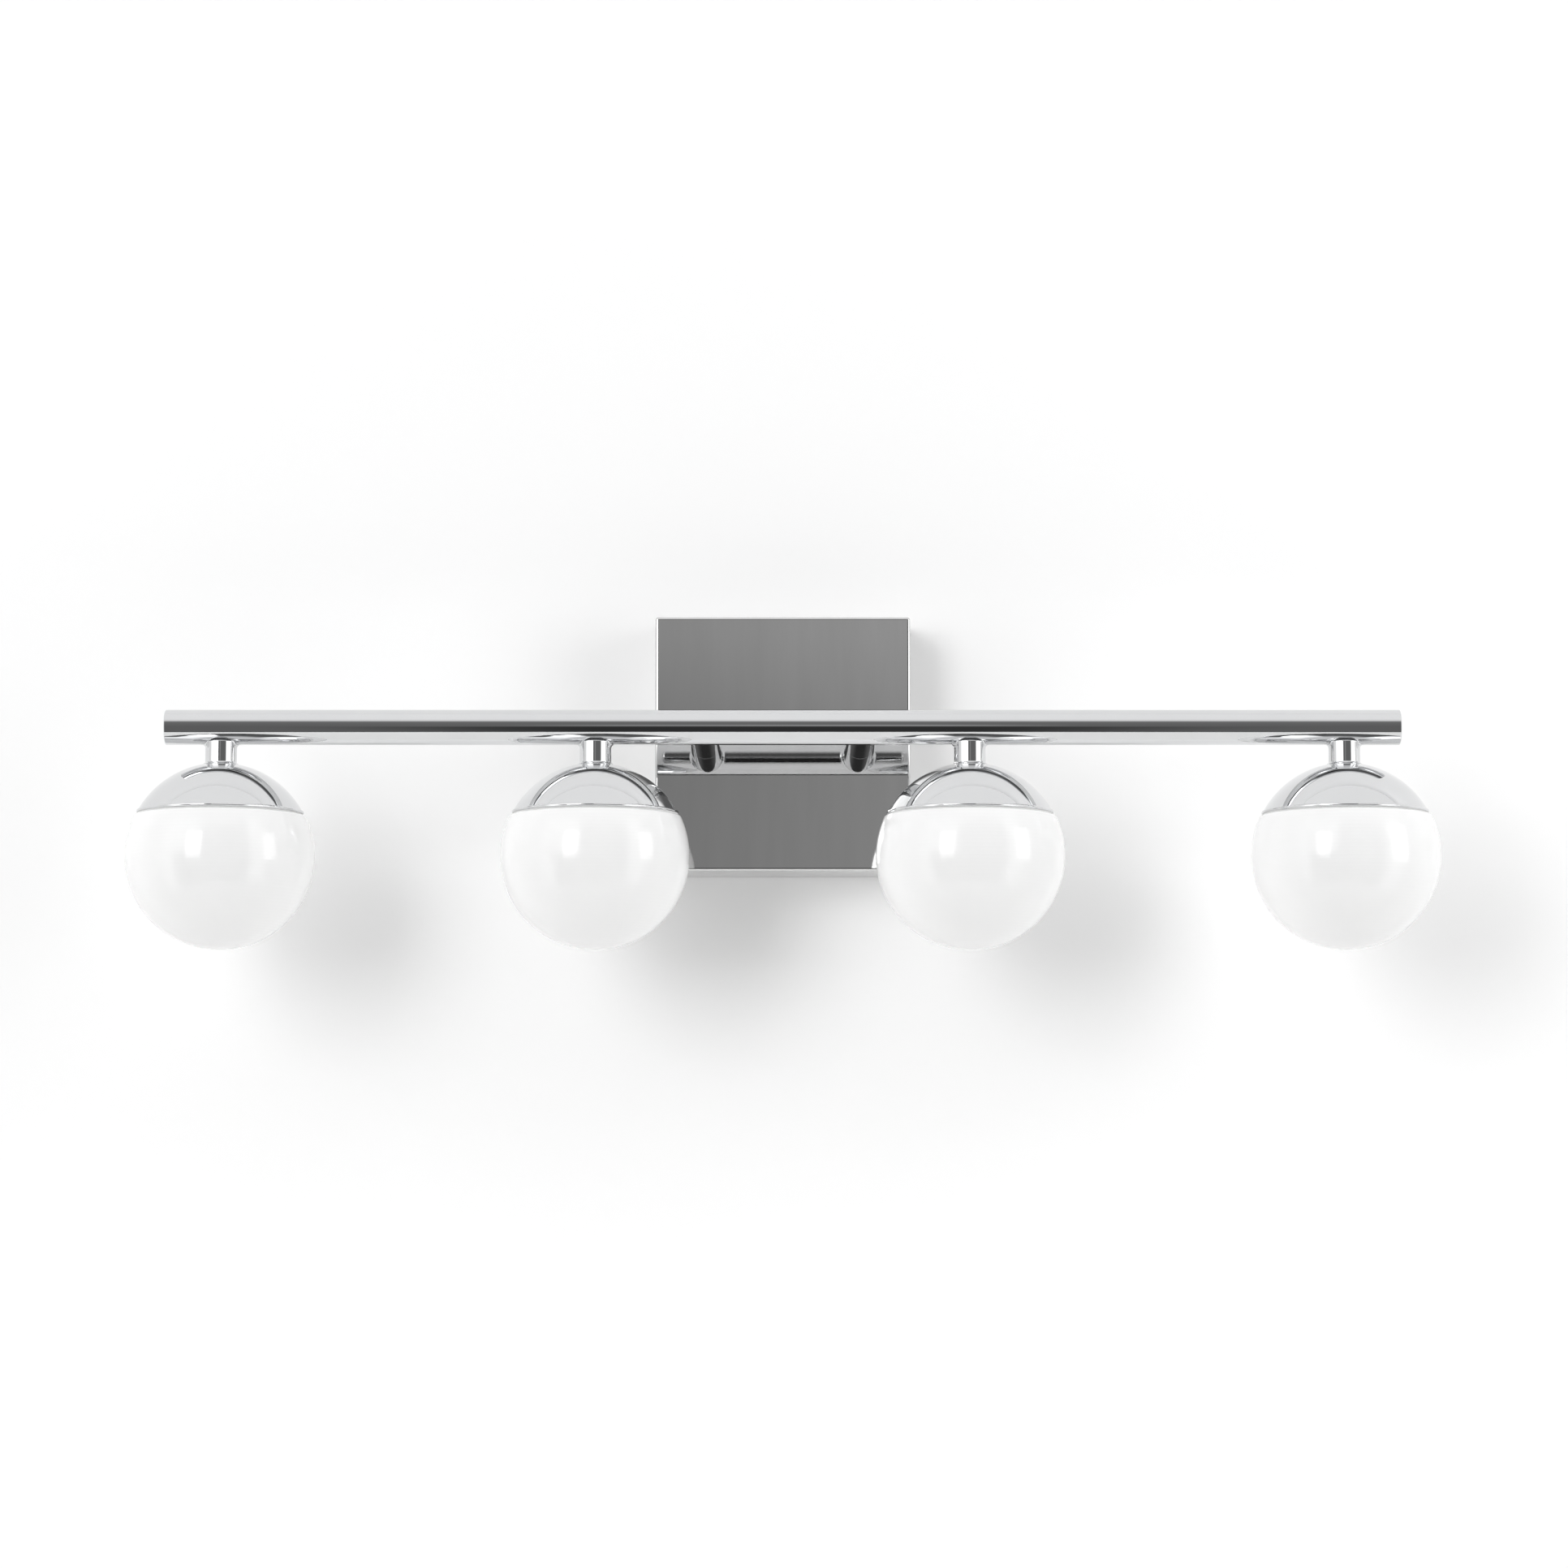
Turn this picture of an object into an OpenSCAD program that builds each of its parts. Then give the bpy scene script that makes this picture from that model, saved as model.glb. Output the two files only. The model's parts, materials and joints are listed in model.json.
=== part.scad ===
// Vanity light bar: a square wall canopy carries a chrome bar on two round arms,
// and four opal glass globes hang from short stems under the bar.
// Millimetres. The origin is the centre of the canopy's open back, on the wall.
// +X is to the right seen from the room, +Y points into the wall, +Z is up.

/* [Bar] */
// Length of the horizontal bar
bar_length = 665.5; // [660:0.5:700]
// Outside diameter of the bar
bar_d = 19.05; // [18.5:0.05:20]
// Wall of the bar tube
bar_wall = 1.2; // [1:0.1:1.5]

/* [Canopy] */
// Side of the square canopy
canopy_size = 142.4; // [130:0.2:150]
// Depth of the canopy from the wall to its face
canopy_depth = 42; // [38:0.5:44]
// Sheet thickness of the canopy
canopy_sheet = 1.2; // [1:0.1:1.5]
// Radius of the canopy's formed edges
canopy_edge_r = 1.6; // [1.5:0.1:2]

/* [Arms] */
// Distance from the canopy's face to the bar's axis
arm_reach = 76.5; // [70:0.5:100]
// Distance between the two arms
arm_spacing = 86; // [80:1:92]
// Outside diameter of an arm
arm_d = 17.2; // [17:0.1:18]

/* [Lamps] */
// Distance between two lamps
lamp_spacing = 201.8; // [190:0.1:210]
// Outside diameter of the glass globe
globe_d = 101.6; // [101:0.1:103]
// Wall of the glass
glass_wall = 3.2; // [3:0.1:3.5]
// Drop from the bar's axis to the centre of a globe
globe_drop = 69.5; // [69:0.1:71]
// Height of the cap's rim above the centre of the globe
rim_height = 22.7; // [22.5:0.1:23.5]
// How far the cap's skin lies inside the glass's sphere
cap_inset = 0.6; // [0.5:0.1:0.8]
// Outside diameter of a stem
stem_d = 17; // [16.5:0.1:17.5]

/* [Hidden] */
$fn = 96;
LAMPS = [1, 2, 3, 4];
LAMP_NODES = ["stem", "cap", "gasket", "globe", "shade_spring", "holder_bracket",
              "lampholder", "bulb_glass", "bulb_base", "bulb_pins"];

CHROME = [0.82, 0.83, 0.85];
STEEL = [0.55, 0.56, 0.57];
ZINC = [0.72, 0.72, 0.68];
BRASS = [0.80, 0.68, 0.35];

slip = 0.02;                 // gap where two pieces are pushed together
thread_gap = 0.05;           // gap that stands for a small screw's thread
through = 60;                // length of a cut that runs right through a small piece
edge_r = 0.4;                // broken edge on a turned or formed end

// bar
bar_r = bar_d / 2;
bar_bore_r = bar_r - bar_wall;
bar_y = -(canopy_depth + arm_reach);
plug_length = 9;
plug_skirt = 1.2;
plug_face = 2;

// hollow threaded nipples, M10 x 1, and their nuts
nipple_r = 5;
nipple_bore_r = 3.5;
nut_flats = 14;
nut_height = 3;
jam_nut_height = 2.5;
thread_depth = 8;            // how far a nipple enters a stem or an arm
wire_hole_r = 4;             // holes that only wires pass

// canopy and wall bracket
face_y = -canopy_depth;
face_back_y = face_y + canopy_sheet;
side_screw_y = -12;
side_screw_r = 2;            // M4
side_screw_length = 9;
side_screw_inset = 0.3;      // how far a side screw's end lies below the canopy's skin
socket_r = 1.15;             // corner radius of its hexagon socket
socket_depth = 2;
bracket_sheet = 2;
bracket_height = 24;
bracket_tab_depth = 20;
bracket_tab_height = 18;
bracket_end_x = canopy_size / 2 - canopy_sheet - 0.4;
slot_near = 34.925;          // half of the 69.85 mm outlet-box pattern
slot_far = 44.45;            // half of the 88.9 mm outlet-box pattern
slot_r = 2.2;                // clears a number 8 screw
ground_x = 16;
ground_screw_r = 2;
ground_head_r = 3.8;
ground_head_h = 2;
ground_lug_r = 4.5;
arm_lug_r = 8;
barrel_r = 1.1;
barrel_length = 4;
barrel_h = barrel_r + 0.15;  // height of a barrel's axis above its ring's underside

// arms
arm_r = arm_d / 2;
arm_bore_r = 7.2;
arm_x = arm_spacing / 2;
arm_solid = 14;              // length of the solid, tapped end at the canopy
arm_nipple_end_y = face_back_y + 10.5;
washer_height = 0.8;

// lamp: heights below are above the centre of the globe
globe_r = globe_d / 2;
bar_axis_h = globe_drop;
cap_r = globe_r - cap_inset;
cap_sheet = 1.2;
seat_r = 9.8;                // flat on top of the cap, under the stem
seat_h = sqrt(pow(cap_r, 2) - pow(seat_r, 2));
cap_ceiling_h = seat_h - cap_sheet;
rim_r = sqrt(pow(cap_r, 2) - pow(rim_height, 2));
hem_r = 0.8;                 // rolled hem round the cap's rim

stem_r = stem_d / 2;
stem_foot_r = seat_r - 0.1;
stem_foot_fillet = stem_foot_r - stem_r;
stem_foot_lip = 0.3;

spring_sheet = 0.8;
spring_width = 8;
spring_count = 3;
spring_gap = 0.1;            // gap from a leaf's flat face to the glass
hub_r = 9.2;
hub_h = cap_ceiling_h - spring_sheet - slip;
top_nut_h = cap_ceiling_h - spring_sheet - nut_height;
bracket_web = 1;
web_h = top_nut_h - bracket_web;
low_nut_h = web_h - nut_height;
lamp_nipple_low = low_nut_h - 0.5;
lamp_nipple_high = seat_h + thread_depth;

// glass: a sphere, cut flat for the rim's gasket, with a short neck inside the cap
gasket_height = 0.9;
gasket_width = 3.5;
gasket_inset = 0.5;          // how far the gasket's edge lies inside the cap's rim
glass_flat_h = rim_height - gasket_height - 0.05;
shoulder_r = 2;              // rounding between the sphere and the flat
neck_r = 34.5;
neck_bore_r = neck_r - glass_wall;
neck_top_h = rim_height + 7;
glass_in_r = globe_r - glass_wall;
glass_ceiling_h = glass_flat_h - glass_wall;

// G9 lampholder and bulb
holder_r = 12;
holder_flat_x = 10.4;
holder_top_h = 35;
holder_low_h = 17;
leg_sheet = 1;
leg_gap_x = holder_flat_x + 0.1;
leg_low_h = 24;
leg_width = 10;
leg_screw_h = 27.5;
leg_screw_r = 1.5;
leg_screw_length = 3.5;
leg_screw_head_r = 2.6;
leg_screw_head_h = 1.4;
pin_x = 4.5;                 // G9 pins are 9 mm apart
contact_r = 1.95;
contact_bore_r = 0.75;
contact_low_h = 21.5;
contact_high_h = 33;
recess_x = 15;
recess_y = 7;
recess_depth = 4.2;
bulb_base_h = 20.8;          // top of the bulb's base, inside the recess
bulb_base_x = 14;
bulb_base_y = 6;
bulb_base_length = 12;
bulb_r = 6.8;
bulb_glass_length = 30;
bulb_glass_wall = 0.9;
pin_r = 0.7;
pin_length = 9.5;
pin_root = 2;                // length of a pin inside the base

// wires
wire_r = 0.9;
ground_wire_r = 0.6;
wire_sides = 8;
wire_bend = 4;               // how far before and after a corner a wire bends
wire_pitch = 2.4;
half_pitch = wire_pitch / 2;
hot_y = -21;                 // plane of the hot splice inside the canopy
neutral_y = -12;             // plane of the neutral splice
splice_x = 14;
splice_mouth_z = 30;
splice_length = 20;
connector_r = 6.5;
connector_tip_r = 4;
connector_bore_r = 3.2;

// ---- helpers ----

// points along an arc in the drawing plane, from angle a0 to angle a1
function arc(c, r, a0, a1, steps = 16) =
    [for (i = [0 : steps]) let (a = a0 + (a1 - a0) * i / steps) c + r * [cos(a), sin(a)]];

// unit normal to the left of the line from a to b
function left_of(a, b) = let (d = (b - a) / norm(b - a)) [-d[1], d[0]];

// one point of a bent strip's edge, moved sideways by t with a mitre
function mitre(pts, i, t) =
    let (last = len(pts) - 1,
         n0 = left_of(pts[max(i - 1, 0)], pts[max(i, 1)]),
         n1 = left_of(pts[min(i, last - 1)], pts[min(i + 1, last)]),
         m = (n0 + n1) / norm(n0 + n1))
    pts[i] + m * t / (m * n0);

// outline of a strip of sheet, t thick, that follows pts
function strip(pts, t) =
    concat(pts, [for (i = [len(pts) - 1 : -1 : 0]) mitre(pts, i, t)]);

// a square with rounded corners
module rounded_square(size, r) {
    square([size - 2 * r, size], center = true);
    square([size, size - 2 * r], center = true);
    for (x = [-1, 1], y = [-1, 1])
        translate([x * (size / 2 - r), y * (size / 2 - r)]) circle(r);
}

// a square block whose front edges and corners are rounded; back at y = 0, front at y = -depth
module pillow_block(size, depth, r) {
    inner = size / 2 - r;
    rotate([90, 0, 0]) {
        linear_extrude(depth - r) rounded_square(size, r);
        translate([-inner, -inner, 0]) cube([2 * inner, 2 * inner, depth]);
        for (s = [-1, 1]) {
            translate([s * inner, 0, depth - r]) rotate([90, 0, 0])
                cylinder(h = 2 * inner, r = r, center = true);
            translate([0, s * inner, depth - r]) rotate([0, 90, 0])
                cylinder(h = 2 * inner, r = r, center = true);
            for (t = [-1, 1]) translate([s * inner, t * inner, depth - r]) sphere(r);
        }
    }
}

function unit(v) = v / norm(v);

// a path whose corners are rounded off, each by three points
function rounded_path(pts, bend) = [
    pts[0],
    for (i = [1 : len(pts) - 2])
        let (p = pts[i], a = pts[i - 1] - p, b = pts[i + 1] - p,
             reach = min(bend, norm(a) / 2.1, norm(b) / 2.1),
             p0 = p + reach * unit(a), p1 = p + reach * unit(b))
        each [p0, (p0 + 2 * p + p1) / 4, p1],
    pts[len(pts) - 1]];

// direction of a path at each of its points
function tangents(pts) = [
    for (i = [0 : len(pts) - 1]) unit(pts[min(i + 1, len(pts) - 1)] - pts[max(i - 1, 0)])];

// sideways directions along a path, each carried on from the one before
function carried(ts, side, i = 0) =
    i == len(ts) ? [] :
    let (s = unit(side - ts[i] * (side * ts[i]))) concat([s], carried(ts, s, i + 1));

// a wire swept through a list of points, with round knees
module wire(pts, r = wire_r) {
    path = rounded_path(pts, wire_bend);
    ts = tangents(path);
    sides = carried(ts, abs(ts[0][2]) > 0.7 ? [1, 0, 0] : [0, 0, 1]);
    n = wire_sides;
    rings = len(path);
    polyhedron(
        points = [for (i = [0 : rings - 1], k = [0 : n - 1])
            path[i] + r * (cos(360 * k / n) * sides[i] + sin(360 * k / n) * cross(ts[i], sides[i]))],
        faces = [
            [for (k = [0 : n - 1]) k],
            for (i = [0 : rings - 2], k = [0 : n - 1]) let (j = (k + 1) % n, a = i * n, b = a + n)
                each [[a + k, b + j, a + j], [a + k, b + k, b + j]],
            [for (k = [n - 1 : -1 : 0]) (rings - 1) * n + k]]);
}

module tube(h, r, bore) {
    difference() {
        cylinder(h = h, r = r);
        translate([0, 0, -1]) cylinder(h = h + 2, r = bore);
    }
}

module hex_nut(h, bore) {
    difference() {
        cylinder(h = h, r = nut_flats / 2 / cos(30), $fn = 6);
        translate([0, 0, -1]) cylinder(h = h + 2, r = bore);
    }
}

// a pan-head screw with a cross recess; the head's underside is at z = 0, the shank goes down
module pan_screw(shank_r, length, head_r, head_h) {
    slot = shank_r * 0.5;
    translate([0, 0, -length]) cylinder(h = length, r = shank_r);
    difference() {
        rotate_extrude() polygon(concat([[0, 0], [head_r, 0]],
            arc([head_r - head_h, 0], head_h, 0, 90, 6), [[0, head_h]]));
        for (a = [0, 90]) rotate(a)
            translate([-slot / 2, -head_r * 0.6, head_h - shank_r * 0.6])
                cube([slot, head_r * 1.2, head_h]);
    }
}

function lamp_x(n) = (n - (len(LAMPS) + 1) / 2) * lamp_spacing;

// places its children at the centre of globe n
module at_lamp(n) translate([lamp_x(n), bar_y, -globe_drop]) children();

module on_arms() for (side = [-1, 1]) translate([side * arm_x, 0, 0]) children();

// turns a piece drawn along +Z so that it runs along -Y, towards the room
module to_room() rotate([90, 0, 0]) children();

// ---- canopy and wall bracket ----

// square cover box, open at the wall
module canopy() color(STEEL) difference() {
    pillow_block(canopy_size, canopy_depth, canopy_edge_r);
    translate([0, 1, 0]) to_room()
        linear_extrude(canopy_depth - canopy_sheet + 1)
            rounded_square(canopy_size - 2 * canopy_sheet, canopy_edge_r - canopy_sheet);
    on_arms() to_room() cylinder(h = canopy_depth + 1, r = nipple_r + 0.1);
    translate([0, side_screw_y, 0]) rotate([0, 90, 0])
        cylinder(h = canopy_size + 2, r = side_screw_r + 0.2, center = true);
}

// two headless screws, flush in the canopy's sides, that thread into the wall bracket's tabs
module canopy_screws() color(CHROME)
    for (side = [-1, 1])
        translate([side * (canopy_size / 2 - side_screw_inset), side_screw_y, 0])
            rotate([0, -side * 90, 0]) difference() {
                cylinder(h = side_screw_length, r = side_screw_r - thread_gap);
                translate([0, 0, -1]) cylinder(h = socket_depth + 1, r = socket_r, $fn = 6);
            }

// flat bar with outlet-box slots and two bent, tapped ends
module wall_bracket() color(ZINC) difference() {
    union() {
        translate([-bracket_end_x, -bracket_sheet, -bracket_height / 2])
            cube([2 * bracket_end_x, bracket_sheet, bracket_height]);
        for (side = [-1, 1])
            translate([side * (bracket_end_x - bracket_sheet / 2), -bracket_tab_depth / 2, 0])
                cube([bracket_sheet, bracket_tab_depth, bracket_tab_height], center = true);
    }
    for (side = [-1, 1]) {
        translate([side * (slot_near + slot_far) / 2, 0, 0]) rotate([90, 0, 0])
            linear_extrude(3 * bracket_sheet, center = true) {
                square([slot_far - slot_near, 2 * slot_r], center = true);
                for (end = [-1, 1])
                    translate([end * (slot_far - slot_near) / 2, 0]) circle(slot_r);
            }
    }
    translate([0, side_screw_y, 0]) rotate([0, 90, 0])
        cylinder(h = canopy_size, r = side_screw_r, center = true);
    translate([ground_x, 0, 0]) rotate([90, 0, 0])
        cylinder(h = 3 * bracket_sheet, r = ground_screw_r, center = true);
}

module ground_screw() color("seagreen")
    translate([ground_x, -bracket_sheet - washer_height, 0]) to_room()
        pan_screw(ground_screw_r - thread_gap, bracket_sheet + washer_height - 0.1,
                  ground_head_r, ground_head_h);

// ring terminal lying on z = 0, with its crimped barrel towards -Y
module ring_terminal(outer_r, bore) {
    tube(washer_height, outer_r, bore);
    translate([-barrel_r * 0.8, -outer_r - 1.5, 0]) cube([barrel_r * 1.6, 2.5, washer_height]);
    translate([0, -outer_r - 1, barrel_h]) rotate([90, 0, 0])
        cylinder(h = barrel_length, r = barrel_r, $fn = 32);
}

// bonding wire from a ring under the right arm's thin nut to a ring under the ground screw
module ground_lead() color("green") {
    lug_y = face_back_y + washer_height + nut_height;
    lug_end = arm_lug_r + 1 + barrel_length + slip;
    ring_end = ground_lug_r + 1 + barrel_length + slip;
    wire_y = -bracket_sheet - barrel_h;
    translate([arm_x, lug_y, 0]) rotate([-90, 180, 0]) ring_terminal(arm_lug_r, nipple_r + slip);
    translate([ground_x, -bracket_sheet, 0]) to_room()
        ring_terminal(ground_lug_r, ground_screw_r + slip);
    wire([[arm_x, lug_y + barrel_h, -lug_end], [arm_x, lug_y + barrel_h, -lug_end - 5],
          [(arm_x + ground_x) / 2, (lug_y + wire_y) / 2, -lug_end - 11],
          [ground_x, wire_y, -ring_end - 10], [ground_x, wire_y, -ring_end]], r = ground_wire_r);
}

// ---- arms ----

// one arm: a tube with a saddle at the bar and a solid tapped end at the canopy
module arm() color(CHROME) difference() {
    translate([0, face_y, 0]) to_room() cylinder(h = arm_reach, r = arm_r);
    translate([0, face_y - arm_solid, 0]) to_room() cylinder(h = arm_reach, r = arm_bore_r);
    translate([0, face_y + 1, 0]) to_room() cylinder(h = arm_reach, r = wire_hole_r);
    translate([0, face_y + 1, 0]) to_room() cylinder(h = thread_depth + 1, r = nipple_r + slip);
    translate([0, bar_y, 0]) rotate([0, 90, 0])
        cylinder(h = 3 * arm_d, r = bar_r + slip, center = true);
}

module arm_left() translate([-arm_x, 0, 0]) arm();

module arm_right() translate([arm_x, 0, 0]) arm();

module arm_nipples() color(ZINC) on_arms()
    translate([0, arm_nipple_end_y, 0]) to_room()
        tube(arm_nipple_end_y - face_y + thread_depth, nipple_r, nipple_bore_r);

// inside the canopy: a washer and a nut on each nipple, and a thin nut that holds the bonding ring
module arm_nuts() color(ZINC) {
    on_arms() translate([0, face_back_y, 0]) rotate([-90, 0, 0]) {
        tube(washer_height, 8.5, nipple_r + slip);
        translate([0, 0, washer_height]) hex_nut(nut_height, nipple_r + slip);
    }
    translate([arm_x, face_back_y + nut_height + 2 * washer_height, 0]) rotate([-90, 0, 0])
        hex_nut(jam_nut_height, nipple_r + slip);
}

// ---- bar ----

module bar_tube() color(CHROME) translate([0, bar_y, 0]) difference() {
    rotate([0, 90, 0]) rotate_extrude() polygon([
        [bar_bore_r, -bar_length / 2], [bar_r - edge_r, -bar_length / 2],
        [bar_r, -bar_length / 2 + edge_r], [bar_r, bar_length / 2 - edge_r],
        [bar_r - edge_r, bar_length / 2], [bar_bore_r, bar_length / 2]]);
    for (n = LAMPS) translate([lamp_x(n), 0, -bar_d]) cylinder(h = bar_d, r = wire_hole_r);
    on_arms() rotate([-90, 0, 0]) cylinder(h = bar_d, r = wire_hole_r);
}

// a disc with a skirt, pushed into the end of the bar
module bar_end_plug(side) color(CHROME)
    translate([side * bar_length / 2, bar_y, 0]) rotate([0, -side * 90, 0])
        rotate_extrude() polygon([
            [0, 0], [bar_bore_r - slip - edge_r, 0], [bar_bore_r - slip, edge_r],
            [bar_bore_r - slip, plug_length], [bar_bore_r - plug_skirt, plug_length],
            [bar_bore_r - plug_skirt, plug_face], [0, plug_face]]);

module bar_end_plug_left() bar_end_plug(-1);

module bar_end_plug_right() bar_end_plug(1);

// ---- lamp metalwork ----

// short tube between the bar and a cap, with a small foot on the cap
module stem() color(CHROME) difference() {
    rotate_extrude() polygon(concat(
        [[0, seat_h], [stem_foot_r, seat_h]],
        arc([stem_foot_r, seat_h + stem_foot_lip + stem_foot_fillet], stem_foot_fillet, 270, 180, 8),
        [[stem_r, bar_axis_h], [0, bar_axis_h]]));
    translate([0, 0, bar_axis_h]) rotate([0, 90, 0])
        cylinder(h = 3 * stem_d, r = bar_r + slip, center = true);
    translate([0, 0, seat_h - 1]) cylinder(h = thread_depth + 1, r = nipple_r + slip);
    translate([0, 0, seat_h]) cylinder(h = globe_drop, r = wire_hole_r);
}

// domed cap with a rolled hem, flat where the stem stands on it
module cap() color(CHROME) difference() {
    union() {
        intersection() {
            sphere(cap_r);
            translate([0, 0, rim_height]) cylinder(h = seat_h - rim_height, r = cap_r);
        }
        translate([0, 0, rim_height + hem_r]) rotate_extrude()
            translate([rim_r - hem_r + 0.1, 0]) circle(hem_r);
    }
    intersection() {
        sphere(cap_r - cap_sheet);
        translate([0, 0, rim_height + hem_r])
            cylinder(h = cap_ceiling_h - rim_height - hem_r, r = cap_r);
    }
    translate([0, 0, rim_height - 1]) cylinder(h = 3, r = rim_r - 2 * hem_r);
    translate([0, 0, rim_height]) cylinder(h = cap_r, r = nipple_r + 0.1);
}

// soft ring between the cap's rim and the glass
module gasket() color("gainsboro") translate([0, 0, rim_height - gasket_height - 0.02])
    tube(gasket_height, rim_r - gasket_inset, rim_r - gasket_inset - gasket_width);

// three leaf springs on one hub, which press outwards inside the neck of the glass
module shade_spring() color(ZINC) difference() {
    touch_r = sqrt(pow(neck_bore_r - spring_gap, 2) - pow(spring_width / 2, 2)) - spring_sheet;
    touch_h = neck_top_h - 3.5;
    // one leaf, from the hub over the edge of the neck and down to its free end
    leaf = [[hub_r - 4, hub_h], [hub_r - 0.8, hub_h], [hub_r + 8, hub_h - 4], [26, touch_h + 10],
            [touch_r - 2.4, touch_h + 4], [touch_r, touch_h], [touch_r - 1.6, touch_h - 5.5]];
    union() {
        translate([0, 0, hub_h]) cylinder(h = spring_sheet, r = hub_r);
        for (i = [0 : spring_count - 1]) rotate(i * 360 / spring_count + 90) rotate([90, 0, 0])
            linear_extrude(spring_width, center = true) polygon(strip(leaf, spring_sheet));
    }
    cylinder(h = cap_r, r = nipple_r + 0.1);
}

// hollow threaded tube through each cap, from the stem down to the lampholder's bracket
module lamp_nipples() color(ZINC) for (n = LAMPS) at_lamp(n)
    translate([0, 0, lamp_nipple_low])
        tube(lamp_nipple_high - lamp_nipple_low, nipple_r, nipple_bore_r);

// on each nipple, one nut under the cap and one under the lampholder's bracket
module holder_nuts() color(ZINC) for (n = LAMPS) at_lamp(n)
    for (h = [top_nut_h - slip, low_nut_h - slip]) translate([0, 0, h])
        hex_nut(nut_height - slip, nipple_r + slip);

// upside-down U of sheet that hangs the lampholder from the nipple
module holder_bracket() color(ZINC) difference() {
    union() {
        translate([0, 0, web_h + bracket_web / 2])
            cube([2 * (leg_gap_x + leg_sheet), leg_width + 4, bracket_web - 2 * slip], center = true);
        for (side = [-1, 1])
            translate([side * (leg_gap_x + leg_sheet / 2), 0, (leg_low_h + web_h + bracket_web / 2) / 2])
                cube([leg_sheet, leg_width, web_h + bracket_web / 2 - leg_low_h], center = true);
    }
    translate([0, 0, web_h - 1]) cylinder(h = 3, r = nipple_r + 0.1);
    translate([0, 0, leg_screw_h]) rotate([0, 90, 0])
        cylinder(h = through, r = leg_screw_r + 0.15, center = true, $fn = 32);
}

// one screw through each leg into the side of the ceramic
module holder_screws() color(ZINC) for (n = LAMPS) at_lamp(n) for (side = [-1, 1])
    translate([side * (leg_gap_x + leg_sheet + slip), 0, leg_screw_h]) rotate([0, side * 90, 0])
        pan_screw(leg_screw_r, leg_screw_length, leg_screw_head_r, leg_screw_head_h);

// ---- lampholder and bulb ----

module lampholder() color("ivory") difference() {
    intersection() {
        translate([0, 0, holder_low_h]) cylinder(h = holder_top_h - holder_low_h, r = holder_r);
        translate([-holder_flat_x, -holder_r, 0]) cube([2 * holder_flat_x, 2 * holder_r, through]);
    }
    translate([-recess_x / 2, -recess_y / 2, holder_low_h - 1])
        cube([recess_x, recess_y, recess_depth + 1]);
    for (side = [-1, 1]) translate([side * pin_x, 0, 0])
        cylinder(h = through, r = contact_r + slip);
    for (side = [-1, 1]) translate([side * holder_flat_x, 0, leg_screw_h]) rotate([0, 90, 0])
        cylinder(h = 2 * (leg_screw_length - leg_sheet), r = leg_screw_r + slip, center = true, $fn = 32);
}

// two sleeves in each lampholder that grip the bulb's pins
module holder_contacts() color(BRASS) for (n = LAMPS) at_lamp(n) for (side = [-1, 1])
    translate([side * pin_x, 0, contact_low_h])
        tube(contact_high_h - contact_low_h, contact_r, contact_bore_r);

module bulb_pins() color("silver") for (side = [-1, 1])
    translate([side * pin_x, 0, bulb_base_h - pin_root])
        cylinder(h = pin_root + pin_length, r = pin_r, $fn = 32);

module bulb_base() color("white") difference() {
    translate([-bulb_base_x / 2, -bulb_base_y / 2, bulb_base_h - bulb_base_length])
        cube([bulb_base_x, bulb_base_y, bulb_base_length]);
    for (side = [-1, 1]) translate([side * pin_x, 0, bulb_base_h - pin_root - slip])
        cylinder(h = pin_root + 1, r = pin_r + slip, $fn = 32);
}

// round-ended capsule below the base
module bulb_glass() color([0.93, 0.95, 0.96, 0.6]) {
    top_h = bulb_base_h - bulb_base_length;
    tip_h = top_h - bulb_glass_length + bulb_r;
    in_r = bulb_r - bulb_glass_wall;
    rotate_extrude() polygon(concat(
        [[0, top_h], [bulb_r, top_h]], arc([0, tip_h], bulb_r, 0, -90),
        [[0, tip_h - in_r]], arc([0, tip_h], in_r, -85, 0),
        [[in_r, top_h - bulb_glass_wall], [0, top_h - bulb_glass_wall]]));
}

// ---- glass globe ----

// a hollow opal sphere with a flat ring under the cap's rim and a neck inside the cap
module globe() color([0.97, 0.97, 0.96]) {
    round_z = glass_flat_h - shoulder_r;
    round_x = sqrt(pow(globe_r - shoulder_r, 2) - pow(round_z, 2));
    tangent_a = atan2(round_z, round_x);
    ceiling_x = sqrt(pow(glass_in_r, 2) - pow(glass_ceiling_h, 2));
    ceiling_a = atan2(glass_ceiling_h, ceiling_x);
    neck_round = glass_wall / 2;
    rotate_extrude() polygon(concat(
        [[0, -globe_r]], arc([0, 0], globe_r, -87, tangent_a, 48),
        arc([round_x, round_z], shoulder_r, tangent_a + 10, 90, 5),
        [[neck_r, glass_flat_h]],
        arc([neck_r - neck_round, neck_top_h - neck_round], neck_round, 0, 180, 8),
        [[neck_bore_r, glass_ceiling_h]],
        arc([0, 0], glass_in_r, ceiling_a, -87, 48), [[0, -glass_in_r]]));
}

// ---- wiring ----

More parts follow.
